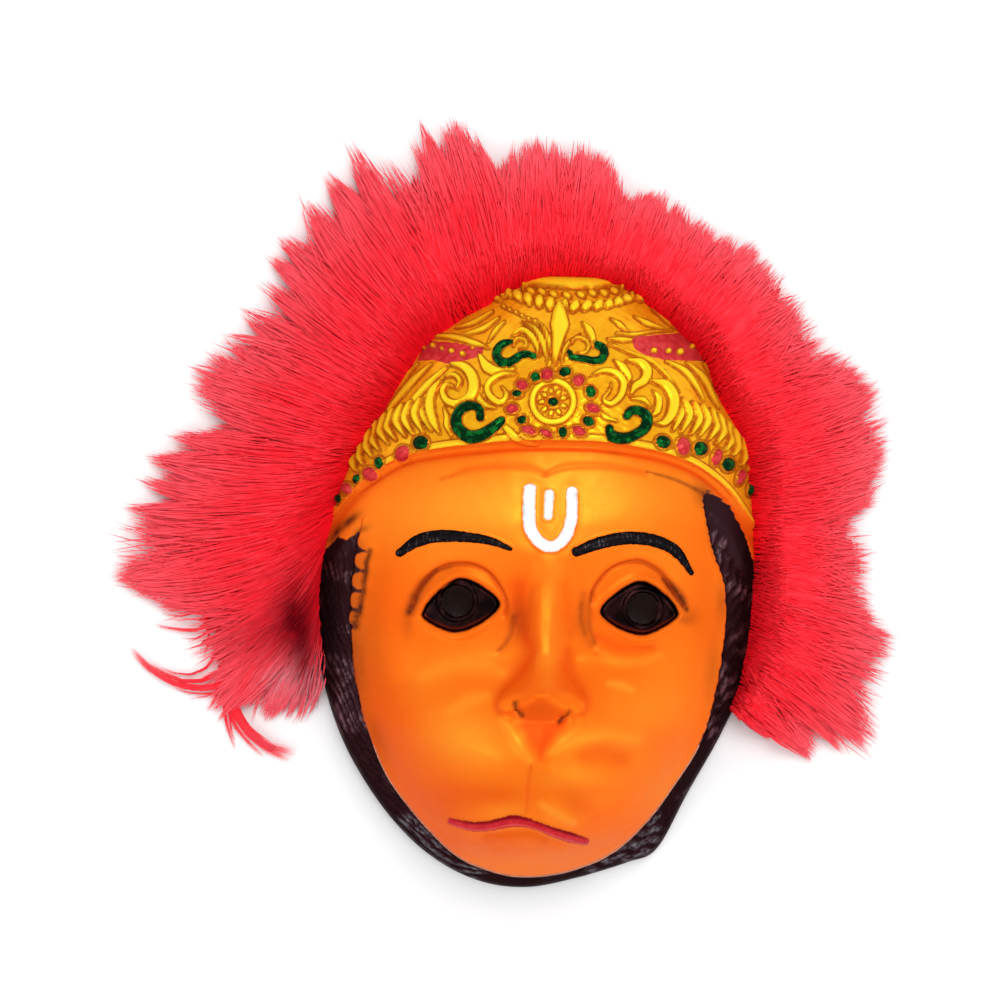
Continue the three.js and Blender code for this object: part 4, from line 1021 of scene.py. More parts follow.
def fringe_paint(x, y, outside):
    """How far inside the black paint of the fringe each point lies."""
    limit = DEPTH_LIMIT
    left_line = np.interp(-y, [-p[1] for p in HAIR_LINE], [p[0] for p in HAIR_LINE])
    left = np.where((x < 0) & (y >= HAIR_LINE[-1][1]), left_line - x, limit)
    wisps = 1.5 * np.abs(np.sin(y * 1.05 + x * 0.2 + 0.8 * np.sin(y * 0.33)))
    slots = 2.1 * np.abs(np.sin(y * 0.42 + x * 0.16 + 0.7 * np.sin(y * 0.21)))
    right_side = np.where(y > -35, wisps, slots) * ((x > 60) & (y > FRINGE_FOOT))
    ragged = np.where((x < 0) & (y > FRINGE_FOOT) & (y < -52), 0.6 * wisps, right_side)
    left_top, right_top = (0.8 * (np.interp(x, *zip(*line)) - y)
                           for line in (LEFT_HAIR_TOP, RIGHT_HAIR_TOP))
    top = np.where(x > TEMPLES[1], right_top - 0.7 * wisps, left_top)
    under_face = np.where(y > -100, -limit, limit)
    top = np.where((x > TEMPLES[0]) & (x < TEMPLES[1]), under_face, top)
    side = np.where((x < 0) & (y > -56), limit, outside + 0.2 - 0.6 * ragged)
    return limited(np.minimum(np.minimum(side, left - ragged), top))


def eye_rim(x, y):
    """The reddish lower rim inside each eye's opening."""
    rim = np.zeros_like(x)
    for eye in EYES:
        depth = -outside_eye(eye, x, y)
        low = ease(-2, -6, y - eye["at"][1])
        rim = np.maximum(rim, low * ease(-0.3, 0.4, depth) * ease(3.2, 1.2, depth))
    return rim


def hammered(field, band, settle):
    """The uneven ground between the crown's ornaments."""
    grain = np.sin(field.x * 1.31 + 1.7 * np.sin(field.y * 0.83)) * np.sin(field.y * 1.17 + 2)
    return HAMMER_HEIGHT * grain * ease(3, 6, band) * settle * ease(0.5, -0.5, field.relief)


def hair_depth(field, outside):
    """The fringe's black paint, without the curls beside the temple that stay orange."""
    hair = fringe_paint(field.x, field.y, outside)
    for at, radii in TEMPLE_CURLS:
        away = np.hypot((field.x - at[0]) / radii[0], (field.y - at[1]) / radii[1]) - 1
        hair = np.minimum(hair, away * radii[0])
    return hair


def paint_depths(field, band, outside):
    """How far inside each paint's edge the points lie, for the paints with a sharp edge."""
    eyes = np.minimum(*(outside_eye(eye, field.x, field.y) for eye in EYES))
    return {
        "gold": limited(band - 0.4),
        "hair": hair_depth(field, outside),
        "eye": limited(-eyes),
        # A painted glint: a pale line along the face's edge round the jaw
        "jaw_edge_glint": -np.abs(outside - 0.1).clip(0, 3) - np.where(field.y > -100, 3, 0),
        "relief": limited(field.relief),
        "lip_side": lip_side(field.x, field.y),
    }


def paint_shares(field, band):
    """How strong each soft paint is, from 0 to 1: airbrush paint, painted shade and painted highlight.
    """
    # Painted shade under the nose, strongest low down
    under_nose_shade = ease(-3, 3, inside_polygon(field.x, field.y, NOSE_UNDERSIDE))
    # Painted shade in the hollow under the crown's edge
    crown_groove_shade = np.exp(-(((band + 3.4) / 1.9) ** 2))
    return {
        # Dark smudges, partly painted shade
        "smudge_and_shade": soft_patches(field, SMUDGE_AND_SHADE, SMUDGE_AND_SHADE_LINES),
        # Red-orange airbrush paint and painted shade
        "blush_and_shade": clamp(soft_patches(field, BLUSH_AND_SHADE, BLUSH_AND_SHADE_LINES) + 0.8 * crown_groove_shade),
        # Painted highlight
        "painted_highlight": soft_patches(field, PAINTED_HIGHLIGHTS, PAINTED_HIGHLIGHT_LINES),
        "under_nose_shade": under_nose_shade * mix(0.55, 1.0, ease(-86, -93, field.y)),
        "eye_rim": eye_rim(field.x, field.y),
        # Where the fringe's crests turn slate grey, a painted highlight
        "slate_highlight": ease(*SLATE_HIGHLIGHT_FROM, field.y),
    }


def inner_points(x, y, form, normal):
    """The inside: the plain form, one wall in, with no dents where the nostrils are."""
    wall = WALL + sum(NOSTRIL_WALL["more"] * soft_spot(x, y, at, NOSTRIL_WALL["spread"])
                      for at in NOSTRILS)
    inner = form - normal * wall[..., None]
    inner[..., 2] = np.maximum(inner[..., 2], 0)
    flat = unit(normal[..., :2])
    rim = np.stack([x - WALL * flat[..., 0], y - WALL * flat[..., 1], np.zeros_like(x)], -1)
    inner[[0, -1], :] = rim[[0, -1], :]
    inner[:, [0, -1]] = rim[:, [0, -1]]
    return inner[::INNER_EVERY, ::INNER_EVERY]


def shell_surface():
    """The outer and inner points of the shell, and the paint's depths and shares."""
    angle, share = shell_places()
    x, y = plan_point(angle, share)
    form = form_point(angle, share)
    normal = normal_at(angle, share)
    field = Field(x.ravel(), y.ravel())
    green, red = carve_crown(field)
    depths = {"green": green, "red": red, **carve_face(field)}
    lock_lift, crest, outside = fringe(field.x, field.y, share.ravel())
    settle = 1 - ease(*SETTLE_FROM, share.ravel())
    band = above_crown_edge(field.x, field.y)
    lift = field.raised * settle - field.sunk + field.swell + lock_lift
    lift += hammered(field, band, settle)
    outer = form + normal * lift.reshape(x.shape)[..., None]
    outer[..., 2] = np.maximum(outer[..., 2], 0)
    depths.update(paint_depths(field, band, outside))
    shares = {"lock": crest, "inside": np.zeros_like(crest), **paint_shares(field, band)}
    return outer, inner_points(x, y, form, normal), depths, shares


def rim_strip(outer_edge, inner_edge):
    """The triangles between the fine outer edge and the coarser inner one."""
    strip = []
    middle = INNER_EVERY // 2
    for k, here in enumerate(inner_edge):
        after = inner_edge[(k + 1) % len(inner_edge)]
        first = k * INNER_EVERY
        span = [outer_edge[(first + n) % len(outer_edge)] for n in range(INNER_EVERY + 1)]
        for n in range(INNER_EVERY):
            strip.append((here if n < middle else after, span[n + 1], span[n]))
        strip.append((after, span[middle], here))
    return np.array(strip)


def shell_mesh():
    outer, inner, depths, shares = shell_surface()
    inner_rows, inner_columns = ROWS // INNER_EVERY, COLUMNS // INNER_EVERY
    start = (ROWS + 1) * (COLUMNS + 1)
    outside = grid_faces(ROWS, COLUMNS)
    inside = grid_faces(inner_rows, inner_columns, start, facing_out=False)
    inner_edge = [start + k for k in grid_edge(inner_rows, inner_columns)]
    strip = rim_strip(grid_edge(ROWS, COLUMNS), inner_edge)
    outer_points, inside_points = outer.reshape(-1, 3), inner.reshape(-1, 3)
    points = to_row(np.concatenate([outer_points, inside_points]))
    made = new_mesh("shell", points, [outside, inside, strip])
    for paints, nowhere in ((depths, -DEPTH_LIMIT), (shares, 0.0)):
        for name, values in paints.items():
            rest = 1.0 if name == "inside" else nowhere
            put_attribute(made, name,
                          np.concatenate([values, np.full(len(inside_points), rest)]))
    return made


def cut_hole(made, cutter):
    hole = made.modifiers.new("hole", "BOOLEAN")
    hole.operation = "DIFFERENCE"
    hole.solver = "MANIFOLD"
    hole.object = cutter
    bpy.context.view_layer.objects.active = made
    bpy.ops.object.modifier_apply(modifier=hole.name)
    bpy.data.objects.remove(cutter)


def cut_eye_holes(made):
    """Both holes are cut square to the rim's plane, at the level of the eyeballs."""
    for x, y in EYE_HOLES:
        share = 1 - EYE_LEVEL * DRAW_IN
        at = to_row((x * share, y * share, EYE_LEVEL))
        bpy.ops.mesh.primitive_cylinder_add(vertices=HOLE_SIDES, radius=EYE_HOLE_RADIUS / METRE,
                                            depth=EYE_LEVEL / METRE, location=at)
        cut_hole(made, bpy.context.object)


# The fur. Its outline runs from the lower left end over the top to the lower right end
FUR_OUTLINE = [
    (-75, -84), (-82, -88), (-89, -86), (-95, -87), (-102, -82), (-110, -83), (-114, -89),
    (-119, -78), (-123, -61), (-136, -43), (-144, -36), (-154, -30), (-153, -10), (-148, -2),
    (-134, -3), (-142, 8), (-132, 11), (-141, 17), (-128, 22), (-132, 26), (-106, 32),
    (-122, 39), (-124, 48), (-120, 56), (-112, 64), (-97, 69), (-104, 76), (-87, 77), (-99, 88),
    (-82, 87), (-92, 96), (-80, 97), (-89, 105), (-74, 104), (-80, 122), (-66, 116), (-69, 130),
    (-56, 124), (-61, 143), (-38, 132), (-32, 152), (-26, 142), (-17, 152), (-8, 144),
    (-2, 134), (10, 145), (16, 144), (32, 144), (41, 141), (48, 134), (53, 124), (60, 125), (68, 124),
    (76, 117), (90, 107), (102, 104), (106, 98), (112, 92), (124, 77), (132, 63), (144, 53),
    (149, 48), (153, 41), (156, 32), (155, 21), (154, 11), (152, -1), (144, -8), (152, -25),
    (153, -47), (157, -55), (155, -78), (150, -105), (144, -84), (139, -103), (132, -89),
    (126, -106), (118, -96), (110, -98), (104, -93), (98, -89),
]
# How the fur is combed: a tip's direction, its root's direction and how far the hair sags
FUR_FLOW = [
    (-33, -32, -0.05), (-27, -20, -0.14), (-15, -9, -0.04), (0, 3, 0.04), (33, 40, 0.03),
    (60, 63, 0.0), (90, 90, 0.0), (110, 106, 0.0), (140, 130, 0.05), (160, 147, 0.1),
    (176, 161, 0.17), (188, 171, 0.2), (196, 178, 0.12), (203, 184, 0.06), (208, 190, 0.02),
]
FUR_GAP = 0.6
FUR_HEIGHT = 28
# The pile's height on the way out: places, and the share of the full height at each
FUR_PROFILE = ((0, 0.28, 0.62, 1), (0.64, 1, 0.72, 0.12))
# The fur is lower by this share at its two ends
END_DROP = 0.45
FUR_PIECES = ("fur_lower_left", "fur_left", "fur_top", "fur_right", "fur_lower_right")
FUR_SEED = 7
STRANDS = 52000
STRAND_HALF = 0.27
STRAND_TAPER = (1.0, 0.85, 0.0)
# The tufts that the strands gather in: how uneven they are in length, and how far they sway
TUFTS = 640
TUFT_UNEVEN = 0.09
TUFT_LIMITS = (-2, 0.9)
TUFT_SWAY = 0.07
STRAND_SWAY = 0.035
# How far strands stray from their tuft along the trim, and how close its tips are gathered
LOOSENESS = 0.008
ROOT_SPREAD = 1.3
GATHER = 0.14
FREE_SHARE = 0.3
TIP_SCATTER = 0.6
# The outermost strands reach the tips, some lie at the root, and a few stray ones end beyond
OUTERMOST_SHARE = 0.45
OUTERMOST_FROM = 0.5
OTHERS_FROM = 0.84
OUTERMOST_SHORTER = 0.25
OTHER_ENDS = (0.14, 0.95)
ROOT_SHARE = 0.3
ROOT_ENDS = (0.12, 0.45)
STRAY_SHARE = 0.03
STRAY_ENDS = (1.0, 1.05)
STRAND_SPAN = (0.2, 0.36)
# The uppermost hairs start this far over the shell's edge and hide the joint
COLLAR = 3.2
COLLAR_FROM = 0.72
# A length of hair starts this far under the top of the pile
ROOT_SINK = 1.6
HEIGHT_SCATTER = 0.4
LOWEST = 0.6
# The hair is thin at the lower left end of the trim, as far as this share of the outline
THIN_TO = 0.05
THIN_END = 0.3
# Where the hair lies in the shell's shade, and where it is thin and painted pale as light shining
# through it
SHADED_SPOTS = [((-83, -48), (7.5, 15), 0.1, 1.0), ((-79.5, -60), (4, 14), 0, 0.85),
                ((-96, -54), (15, 11), 0.2, 0.4)]
LIT_THROUGH_SPOTS = [((-86, -74), (12, 10), 0.3, 1.0), ((-78, -78), (6, 8), 0, 0.8)]
# Loose locks at the lower left: the line of each, its half width, its strands and its tone
LOOSE_LOCKS = [
    ([(-106, -50), (-108.5, -66), (-109.5, -78), (-109, -84.5), (-106, -91), (-101, -96.5),
      (-94.7, -101.3), (-89, -103.7), (-82.4, -103.7)], 2.4, 260, 0.45),
    ([(-107, -56), (-110.5, -72), (-110.5, -82), (-107.5, -90.5), (-101.5, -97.5),
      (-95, -102.5), (-89, -105.5), (-85.2, -107)], 1.5, 130, 0.3),
    ([(-110, -60), (-112.5, -76), (-111.5, -86), (-108, -93.5), (-103, -99.5),
      (-96.3, -106)], 0.9, 60, 0.3),
    ([(-111.5, -62), (-113.2, -80), (-112, -92), (-108, -103.7)], 0.9, 60, 0.3),
    ([(-109, -66), (-111, -84), (-110, -95), (-108.2, -101)], 0.5, 24, 0.3),
    ([(-104, -60), (-108, -70), (-114.5, -75.9), (-121.8, -77.1), (-129.2, -76.7),
      (-136.5, -73.8), (-143.9, -68.9), (-148.2, -64.4), (-151.9, -59.9)], 1.6, 170, 0.4),
    ([(-109, -56), (-112.5, -67), (-118, -72.5), (-125, -74.5), (-132, -73.8), (-139, -70.4),
      (-145, -66)], 1.1, 90, 0.4),
    ([(-113, -50), (-115.5, -61), (-119.5, -68), (-126, -71.5), (-133.5, -71), (-141, -68)],
     0.6, 36, 0.5),
    ([(-106, -68), (-114, -77.8), (-121, -79.4), (-128, -78.9), (-134, -77)], 0.6, 36, 0.4),
    ([(-110, -72), (-118, -79.5), (-124, -81), (-129, -81.8)], 0.4, 14, 0.5),
    ([(-110, -45), (-122, -52.6), (-132, -53.1), (-142.3, -50.8)], 0.8, 50, 0.5),
    ([(-114, -49), (-124, -56.5), (-132, -56.5)], 0.4, 12, 0.5),
    ([(-116, -42), (-130, -47.5), (-140, -45.9)], 0.5, 18, 0.5),
    ([(-120, -48), (-119.5, -58), (-121.5, -65)], 0.8, 26, 0.5),
    ([(-115, -48), (-116, -60), (-118, -67)], 0.9, 34, 0.5),
    ([(-110, -66), (-116, -80), (-120.7, -87.3)], 0.8, 36, 0.5),
    ([(-110, -70), (-115, -82), (-117, -87.5)], 0.4, 12, 0.5),
    ([(-100, -58), (-98, -74), (-99.2, -82), (-102, -92)], 0.8, 44, 0.4),
    ([(-103, -52), (-104, -70), (-104.5, -84)], 2.6, 150, 0.4),
    ([(-97, -54), (-94.5, -70), (-95.5, -84)], 2.2, 90, 0.4),
]
LOCK_RINGS = 7
LOCK_HALF = 0.25
LOCK_TAPER = 1.6
LOCK_SHORTER = 0.45
LOCK_SPLAY = 0.5
LOCK_FLAT = 0.8
LOCK_LOWEST = 1.2
LOCK_LIFT = 4
LOCK_LAYER = 0.7
TONE_SCATTER = 0.35
# The dense inside of the pile: its slices, how many beside each calm its length, and its section
CORE_SLICES = 1200
CORE_CALM = 20
CORE_MARGIN = 0.004
CORE_UNEVEN = 0.05
CORE_RIDGES = 0.012
CORE_LOWEST = 0.2
CORE_END = (0.45, 0.08)
CORE_LAYER = 0.6
CORE_SECTION = ((0, 0), (0.45, 0), (0.74, 0.02), (0.9, 0.08), (0.78, 0.36), (0.62, 0.62),
                (0.46, 0.78), (0.28, 0.9), (0.12, 0.78), (0, 0.55))


def smooth_ends(share):
    return 1 - END_DROP * (2 * np.abs(share - 0.5)) ** 4


def on_outline(place):
    """A point of the fur's outline, by its share of the way along the list of tips."""
    tips = np.array(FUR_OUTLINE, float)
    at = clamp(place) * (len(tips) - 1)
    return np.stack([np.interp(at, np.arange(len(tips)), tips[:, k]) for k in (0, 1)], -1)


def fur_angle(point):
    angle = np.degrees(polar(point[..., 0], point[..., 1])[0])
    return np.where(angle < -90, angle + 360, angle)


def fur_root(place):
    """Where the hair at a place along the outline is rooted, and how far it sags."""
    flow = np.array(FUR_FLOW, float)
    toward = fur_angle(on_outline(place))
    angle = np.radians(np.interp(toward, flow[:, 0], flow[:, 1]))
    radius = rim_radius(angle) + FUR_GAP
    root = np.stack([CENTRE[0] + radius * np.cos(angle), CENTRE[1] + radius * np.sin(angle)], -1)
    return root, np.interp(toward, flow[:, 0], flow[:, 2])


def fur_top(t):
    return FUR_HEIGHT * np.interp(t, *FUR_PROFILE)


def spikes(line, radius):
    """Closed, tapering three-sided spikes. Line has one row of points for each spike."""
    count, rings = line.shape[:2]
    along = np.gradient(line, axis=1)
    along /= np.linalg.norm(along, axis=-1, keepdims=True) + 1e-9
    side = np.cross(along, (0.0, 0.0, 1.0))
    side /= np.linalg.norm(side, axis=-1, keepdims=True) + 1e-9
    up = np.cross(side, along)
    turn = (2 * math.pi * np.arange(3) / 3 + math.pi / 6)[:, None]
    out = np.cos(turn) * side[:, :-1, None] + np.sin(turn) * up[:, :-1, None]
    ring = line[:, :-1, None] + radius[:, :-1, None, None] * out
    points = np.concatenate([ring.reshape(count, -1, 3), line[:, -1:]], 1)
    size = 3 * (rings - 1) + 1
    quads = [(3 * k + n, 3 * k + 3 + n, 3 * k + 3 + (n + 1) % 3, 3 * k + (n + 1) % 3)
             for k in range(rings - 2) for n in range(3)]
    last = 3 * (rings - 2)
    triangles = [(last + (n + 1) % 3, last + n, size - 1) for n in range(3)] + [(0, 1, 2)]
    start = np.arange(count)[:, None, None] * size
    quads = (np.array(quads, int).reshape(1, -1, 4) + start).reshape(-1, 4)
    triangles = (np.array(triangles)[None] + start).reshape(-1, 3)
    return points.reshape(-1, 3), quads, triangles


def per_corner(values):
    """One value a ring, for each of its three corners and the tip."""
    body = np.repeat(values[:, :-1], 3, axis=1)
    return np.concatenate([body, values[:, -1:]], 1).ravel()


def spots_at(x, y, spots):
    clear = 1.0
    for at, spread, turn, strength in spots:
        clear = clear * (1 - strength * soft_spot(x, y, at, spread, turn))
    return 1 - clear


def put_pile_attributes(made, points, along, tone, layer, spread=np.ravel):
    """What the fur's material reads at each point. Points come in rows, and so does the rest."""
    x, y = points[..., 0], points[..., 1]
    values = {
        "along": along, "tone": tone, "layer": layer,
        "shaded": spots_at(x, y, SHADED_SPOTS), "lit_through": spots_at(x, y, LIT_THROUGH_SPOTS),
    }
    for name, value in values.items():
        put_attribute(made, name, spread(np.broadcast_to(value, x.shape)))


def strand_mesh(name, line, radius, along, tone, layer):
    points, quads, triangles = spikes(line, radius)
    made = new_mesh(name, to_row(points), [quads, triangles], smooth=False)
    put_pile_attributes(made, line, along, tone[:, None], layer[:, None], per_corner)
    return made


def picked(rng, share, count):
    """A random choice of this share of the strands."""
    return rng.random(count) < share


def strand_places(rng, tuft_place):
    """Where along the trim each strand is rooted, and where its tip points."""
    count = len(tuft_place)
    free = picked(rng, FREE_SHARE, count)
    loose = LOOSENESS * rng.standard_normal(count)
    return (clamp(tuft_place + ROOT_SPREAD * loose),
            clamp(tuft_place + loose * np.where(free, 1.0, GATHER)))


def strand_spans(rng, count):
    """How high in the pile each strand lies, and the stretch of the way out that it covers."""
    outermost = picked(rng, OUTERMOST_SHARE, count)
    layer = mix(np.where(outermost, OUTERMOST_FROM, OTHERS_FROM), 1.0, rng.beta(1.4, 1.0, count))
    long_end = 1 - OUTERMOST_SHORTER * rng.random(count) ** 2
    other_end = rng.uniform(*OTHER_ENDS, count)
    at_root = picked(rng, ROOT_SHARE, count)
    other_end = np.where(at_root, rng.uniform(*ROOT_ENDS, count), other_end)
    end = np.where(outermost, long_end, other_end)
    stray = picked(rng, STRAY_SHARE, count)
    end = np.where(stray, rng.uniform(*STRAY_ENDS, count), end)
    start = np.maximum(0, end - rng.uniform(*STRAND_SPAN, count))
    return layer, start, end


def bent_line(root, middle, tip, t):
    """Points at the shares t of a curve from root to tip that is drawn towards middle."""
    a, b, c = ((1 - t) ** 2)[..., None], (2 * t * (1 - t))[..., None], (t * t)[..., None]
    return a * root[:, None] + b * middle[:, None] + c * tip[:, None]


def pile_lines(rng, count):
    """Short lengths of hair laid over each other like thatch, gathered into pointed tufts."""
    tuft_place = np.sort(rng.random(TUFTS))
    tuft_length = 1 + TUFT_UNEVEN * rng.standard_normal(TUFTS).clip(*TUFT_LIMITS)
    tuft_sway = TUFT_SWAY * rng.standard_normal(TUFTS)
    tuft_tone = rng.random(TUFTS)
    tuft = rng.integers(0, TUFTS, count)
    place_root, place_tip = strand_places(rng, tuft_place[tuft])
    layer, start, end = strand_spans(rng, count)
    root, sag = fur_root(place_root)
    tip = root + (on_outline(place_tip) - root) * tuft_length[tuft][:, None]
    tip += TIP_SCATTER * rng.standard_normal((count, 2))
    collar = COLLAR * ease(COLLAR_FROM, 1, layer)
    root = root + unit(np.array(CENTRE) - root) * collar[:, None]
    reach = np.linalg.norm(tip - root, axis=1, keepdims=True)
    chord = (tip - root) / reach
    across = np.stack([-chord[:, 1], chord[:, 0]], -1)
    sway = tuft_sway[tuft] + STRAND_SWAY * rng.standard_normal(count)
    middle = mix(root, tip, 0.5) + across * sway[:, None] * reach
    middle[:, 1] -= sag * reach[:, 0]
    t = np.stack([start, 0.5 * (start + end), end], 1)
    flat = bent_line(root, middle, tip, t)
    height = smooth_ends(place_root)[:, None] * fur_top(t) * mix(0.05, 0.98, layer[:, None])
    height[:, 0] -= ROOT_SINK
    height = np.maximum(height + HEIGHT_SCATTER * rng.random((count, 1)), LOWEST)
    line = drawn_in(flat[..., 0], flat[..., 1], height)
    radius = STRAND_HALF * rng.uniform(0.7, 1.35, count)[:, None] * np.array(STRAND_TAPER)
    tone = clamp(0.5 * tuft_tone[tuft] + 0.5 * rng.random(count))
    kept = picked(rng, mix(THIN_END, 1.0, ease(0.0, THIN_TO, place_root)), count)
    return [values[kept] for values in (line, radius, t, tone, layer, place_root)]


def along_curve(curve, t):
    """The points and the directions at the shares t of a curve's length."""
    length = np.concatenate([[0], np.cumsum(np.hypot(*np.diff(curve, axis=0).T))])
    slope = unit(np.gradient(curve, axis=0))
    return [np.stack([np.interp(t * length[-1], length, values[:, k]) for k in (0, 1)], -1)
            for values in (curve, slope)]


def loose_lines(rng):
    """The strands of the loose locks, packed round the line of each and splayed at its end."""
    lines, radii, alongs, tones = [], [], [], []
    for points, half, count, tone in LOOSE_LOCKS:
        reach = 1 - LOCK_SHORTER * rng.random(count) ** 2
        t = np.linspace(0, 1, LOCK_RINGS)[None] * reach[:, None]
        at, along = along_curve(smooth_curve(points, steps=12), t)
        turn = rng.uniform(0, 2 * math.pi, count)
        out = np.sqrt(rng.random(count)) * half
        splay = LOCK_SPLAY * half * rng.standard_normal(count)
        narrow = (1 - t) ** 0.7
        off = (out * np.cos(turn))[:, None] * narrow + splay[:, None] * t * t
        rise = half + (out * np.sin(turn))[:, None] * narrow
        x = at[..., 0] - along[..., 1] * off
        y = at[..., 1] + along[..., 0] * off
        lines.append(drawn_in(x, y, LOCK_FLAT * rise + LOCK_LOWEST + LOCK_LIFT * (1 - t) ** 2))
        width = LOCK_HALF * rng.uniform(0.5, 1.0, count)[:, None]
        radii.append(width * (1 - np.linspace(0, 1, LOCK_RINGS) ** LOCK_TAPER)[None])
        alongs.append(t)
        tones.append(clamp(tone + TONE_SCATTER * rng.standard_normal(count)))
    return [np.concatenate(values) for values in (lines, radii, alongs, tones)]


def calmed(reach):
    """Lengths without the single tips: the least of those near by, and then their mean."""
    around = np.arange(-CORE_CALM, CORE_CALM + 1)
    beside = np.clip(np.arange(len(reach))[:, None] + around, 0, len(reach) - 1)
    return reach[beside].min(1)[beside].mean(1)


def core_rings(rng):
    """The core's section at each of its slices."""
    place = np.linspace(CORE_MARGIN, 1 - CORE_MARGIN, CORE_SLICES)
    root, sag = fur_root(place)
    out = on_outline(place) - root
    reach = np.linalg.norm(out, axis=1)
    calm = calmed(reach)
    out *= (calm / reach)[:, None]
    shorter, until = CORE_END
    uneven = 1 + CORE_UNEVEN * rng.standard_normal(CORE_SLICES)
    uneven *= mix(shorter, 1, ease(0, until, place))
    ridges = smooth_ends(place) * (1 + CORE_RIDGES * rng.standard_normal(CORE_SLICES))
    rows = []
    for share, up in CORE_SECTION:
        t = share * uneven
        flat = root + out * t[:, None]
        flat[:, 1] -= 2 * t * (1 - t) * sag * calm
        z = np.maximum(CORE_LOWEST, FUR_HEIGHT * up * ridges)
        rows.append(drawn_in(flat[:, 0], flat[:, 1], z))
    return np.stack(rows, 1)


def core_faces():
    """The core's sides, and the fans that close its two ends."""
    sides = len(CORE_SECTION)
    k, n = (grid.ravel() for grid in
            np.meshgrid(np.arange(CORE_SLICES - 1), np.arange(sides), indexing="ij"))
    here, after = k * sides + n, k * sides + (n + 1) % sides
    quads = np.stack([here, after, after + sides, here + sides], -1)
    last = (CORE_SLICES - 1) * sides
    caps = [(0, n + 1, n) for n in range(1, sides - 1)]
    caps += [(last, last + n, last + n + 1) for n in range(1, sides - 1)]
    return [quads, np.array(caps)]


def fur_core(rng):
    """The dense inside of the pile and the backing it is knotted to, as one closed body."""
    rings = core_rings(rng)
    made = new_mesh("fur_backing", to_row(rings.reshape(-1, 3)), core_faces())
    section = np.array(CORE_SECTION)
    tone = rng.random(CORE_SLICES)[:, None]
    put_pile_attributes(made, rings, section[:, 0], tone, CORE_LAYER * section[:, 1])
    return made


def make_fur():
    rng = np.random.default_rng(FUR_SEED)
    count = STRANDS
    line, radius, along, tone, layer, place = pile_lines(rng, count)
    pieces = [fur_core(rng)]
    edges = np.quantile(place, np.linspace(0, 1, len(FUR_PIECES) + 1))
    edges[-1] += 1
    for k, name in enumerate(FUR_PIECES):
        chosen = (place >= edges[k]) & (place < edges[k + 1])
        pieces.append(strand_mesh(name, line[chosen], radius[chosen], along[chosen],
                                  tone[chosen], layer[chosen]))
    line, radius, along, tone = loose_lines(rng)
    layer = np.full(len(tone), LOCK_LAYER)
    pieces.append(strand_mesh("fur_loose_locks", line, radius, along, tone, layer))
    return pieces


# The materials. Colours are given as they look, 0 to 255
COLOURS = {
    # The skin's two tones, and the colour of its painted highlight
    "skin_deep": (252, 114, 20), "skin_light": (255, 124, 26), "painted_highlight": (255, 162, 44),
    # Red-orange paint with painted shade, painted shade under the nose, and dark smudges with painted
    # shade
    "blush_and_shade": (226, 74, 10), "under_nose_shade": (226, 66, 12), "smudge_and_shade": (58, 22, 16),
    # Painted shade in the lids' creases, and a painted glint along the jaw's edge
    "lid_crease_shade": (176, 58, 12), "jaw_edge_glint": (240, 170, 140),
    # Gold, with the colour of its painted highlight on the ornaments' tops
    "gold_deep": (244, 166, 20), "gold_light": (252, 190, 28), "gold_top_highlight": (255, 218, 40),
    # Gold on the roll and in the hollows, and the colour of its painted shade in the grooves
    "gold_roll": (250, 172, 34), "gold_hollow": (236, 140, 20), "gold_groove_shade": (184, 84, 14),
    # The hair's black, and its crests: brushed paint and painted highlight, greyer under the chin
    "hair": (58, 36, 40), "hair_brushed_highlight": (132, 104, 112), "hair_slate_highlight": (132, 132, 140),
    "green_deep": (4, 44, 20), "green_light": (16, 104, 40),
    "red_deep": (196, 46, 52), "red_light": (216, 66, 66),
    "white": (252, 252, 252), "white_worn": (226, 228, 234),
    "brow": (26, 22, 24), "brow_worn": (84, 76, 78),
    "lips_deep": (200, 32, 44), "lips_light": (212, 46, 54), "lips_lit": (234, 84, 80),
    "lips_under": (186, 30, 36), "lips_dark": (132, 10, 22),
    "eye_dark": (22, 13, 14), "eye_brown": (48, 24, 24), "eye_rim": (128, 42, 26),
    "bare_deep": (226, 112, 44), "bare_light": (236, 126, 54),
    # The pile's tones, and the colour of its painted shade at the root
    "fur": (255, 33, 47), "fur_light": (255, 67, 81), "fur_root": (240, 20, 34),
    # Painted light through the tips, painted shade in the lower layers, and pale painted light where
    # the hair is thin
    "fur_tip_lit_through": (255, 114, 128), "fur_deep_shade": (236, 18, 32), "fur_lit_through": (228, 140, 152),
    "fur_shaded": (96, 2, 12), "fur_streak": (216, 18, 32),
    "floor_deep": (250, 250, 251), "floor_light": (253, 253, 253),
}
EDGE_SOFT = 0.12
SKIN_PEARL = 0.35
LACQUER = 0.95
SHELL_SPECULAR = 0.07
# What the painted metal reflects at its edges
DARK_EDGE = (0.3, 0.26, 0.26)


def srgb(red, green, blue):
    """A colour given as it looks, 0 to 255, as the linear numbers that a shader takes."""
    parts = [c / 255 for c in (red, green, blue)]
    linear = [c / 12.92 if c <= 0.04045 else ((c + 0.055) / 1.055) ** 2.4 for c in parts]
    return (*linear, 1.0)


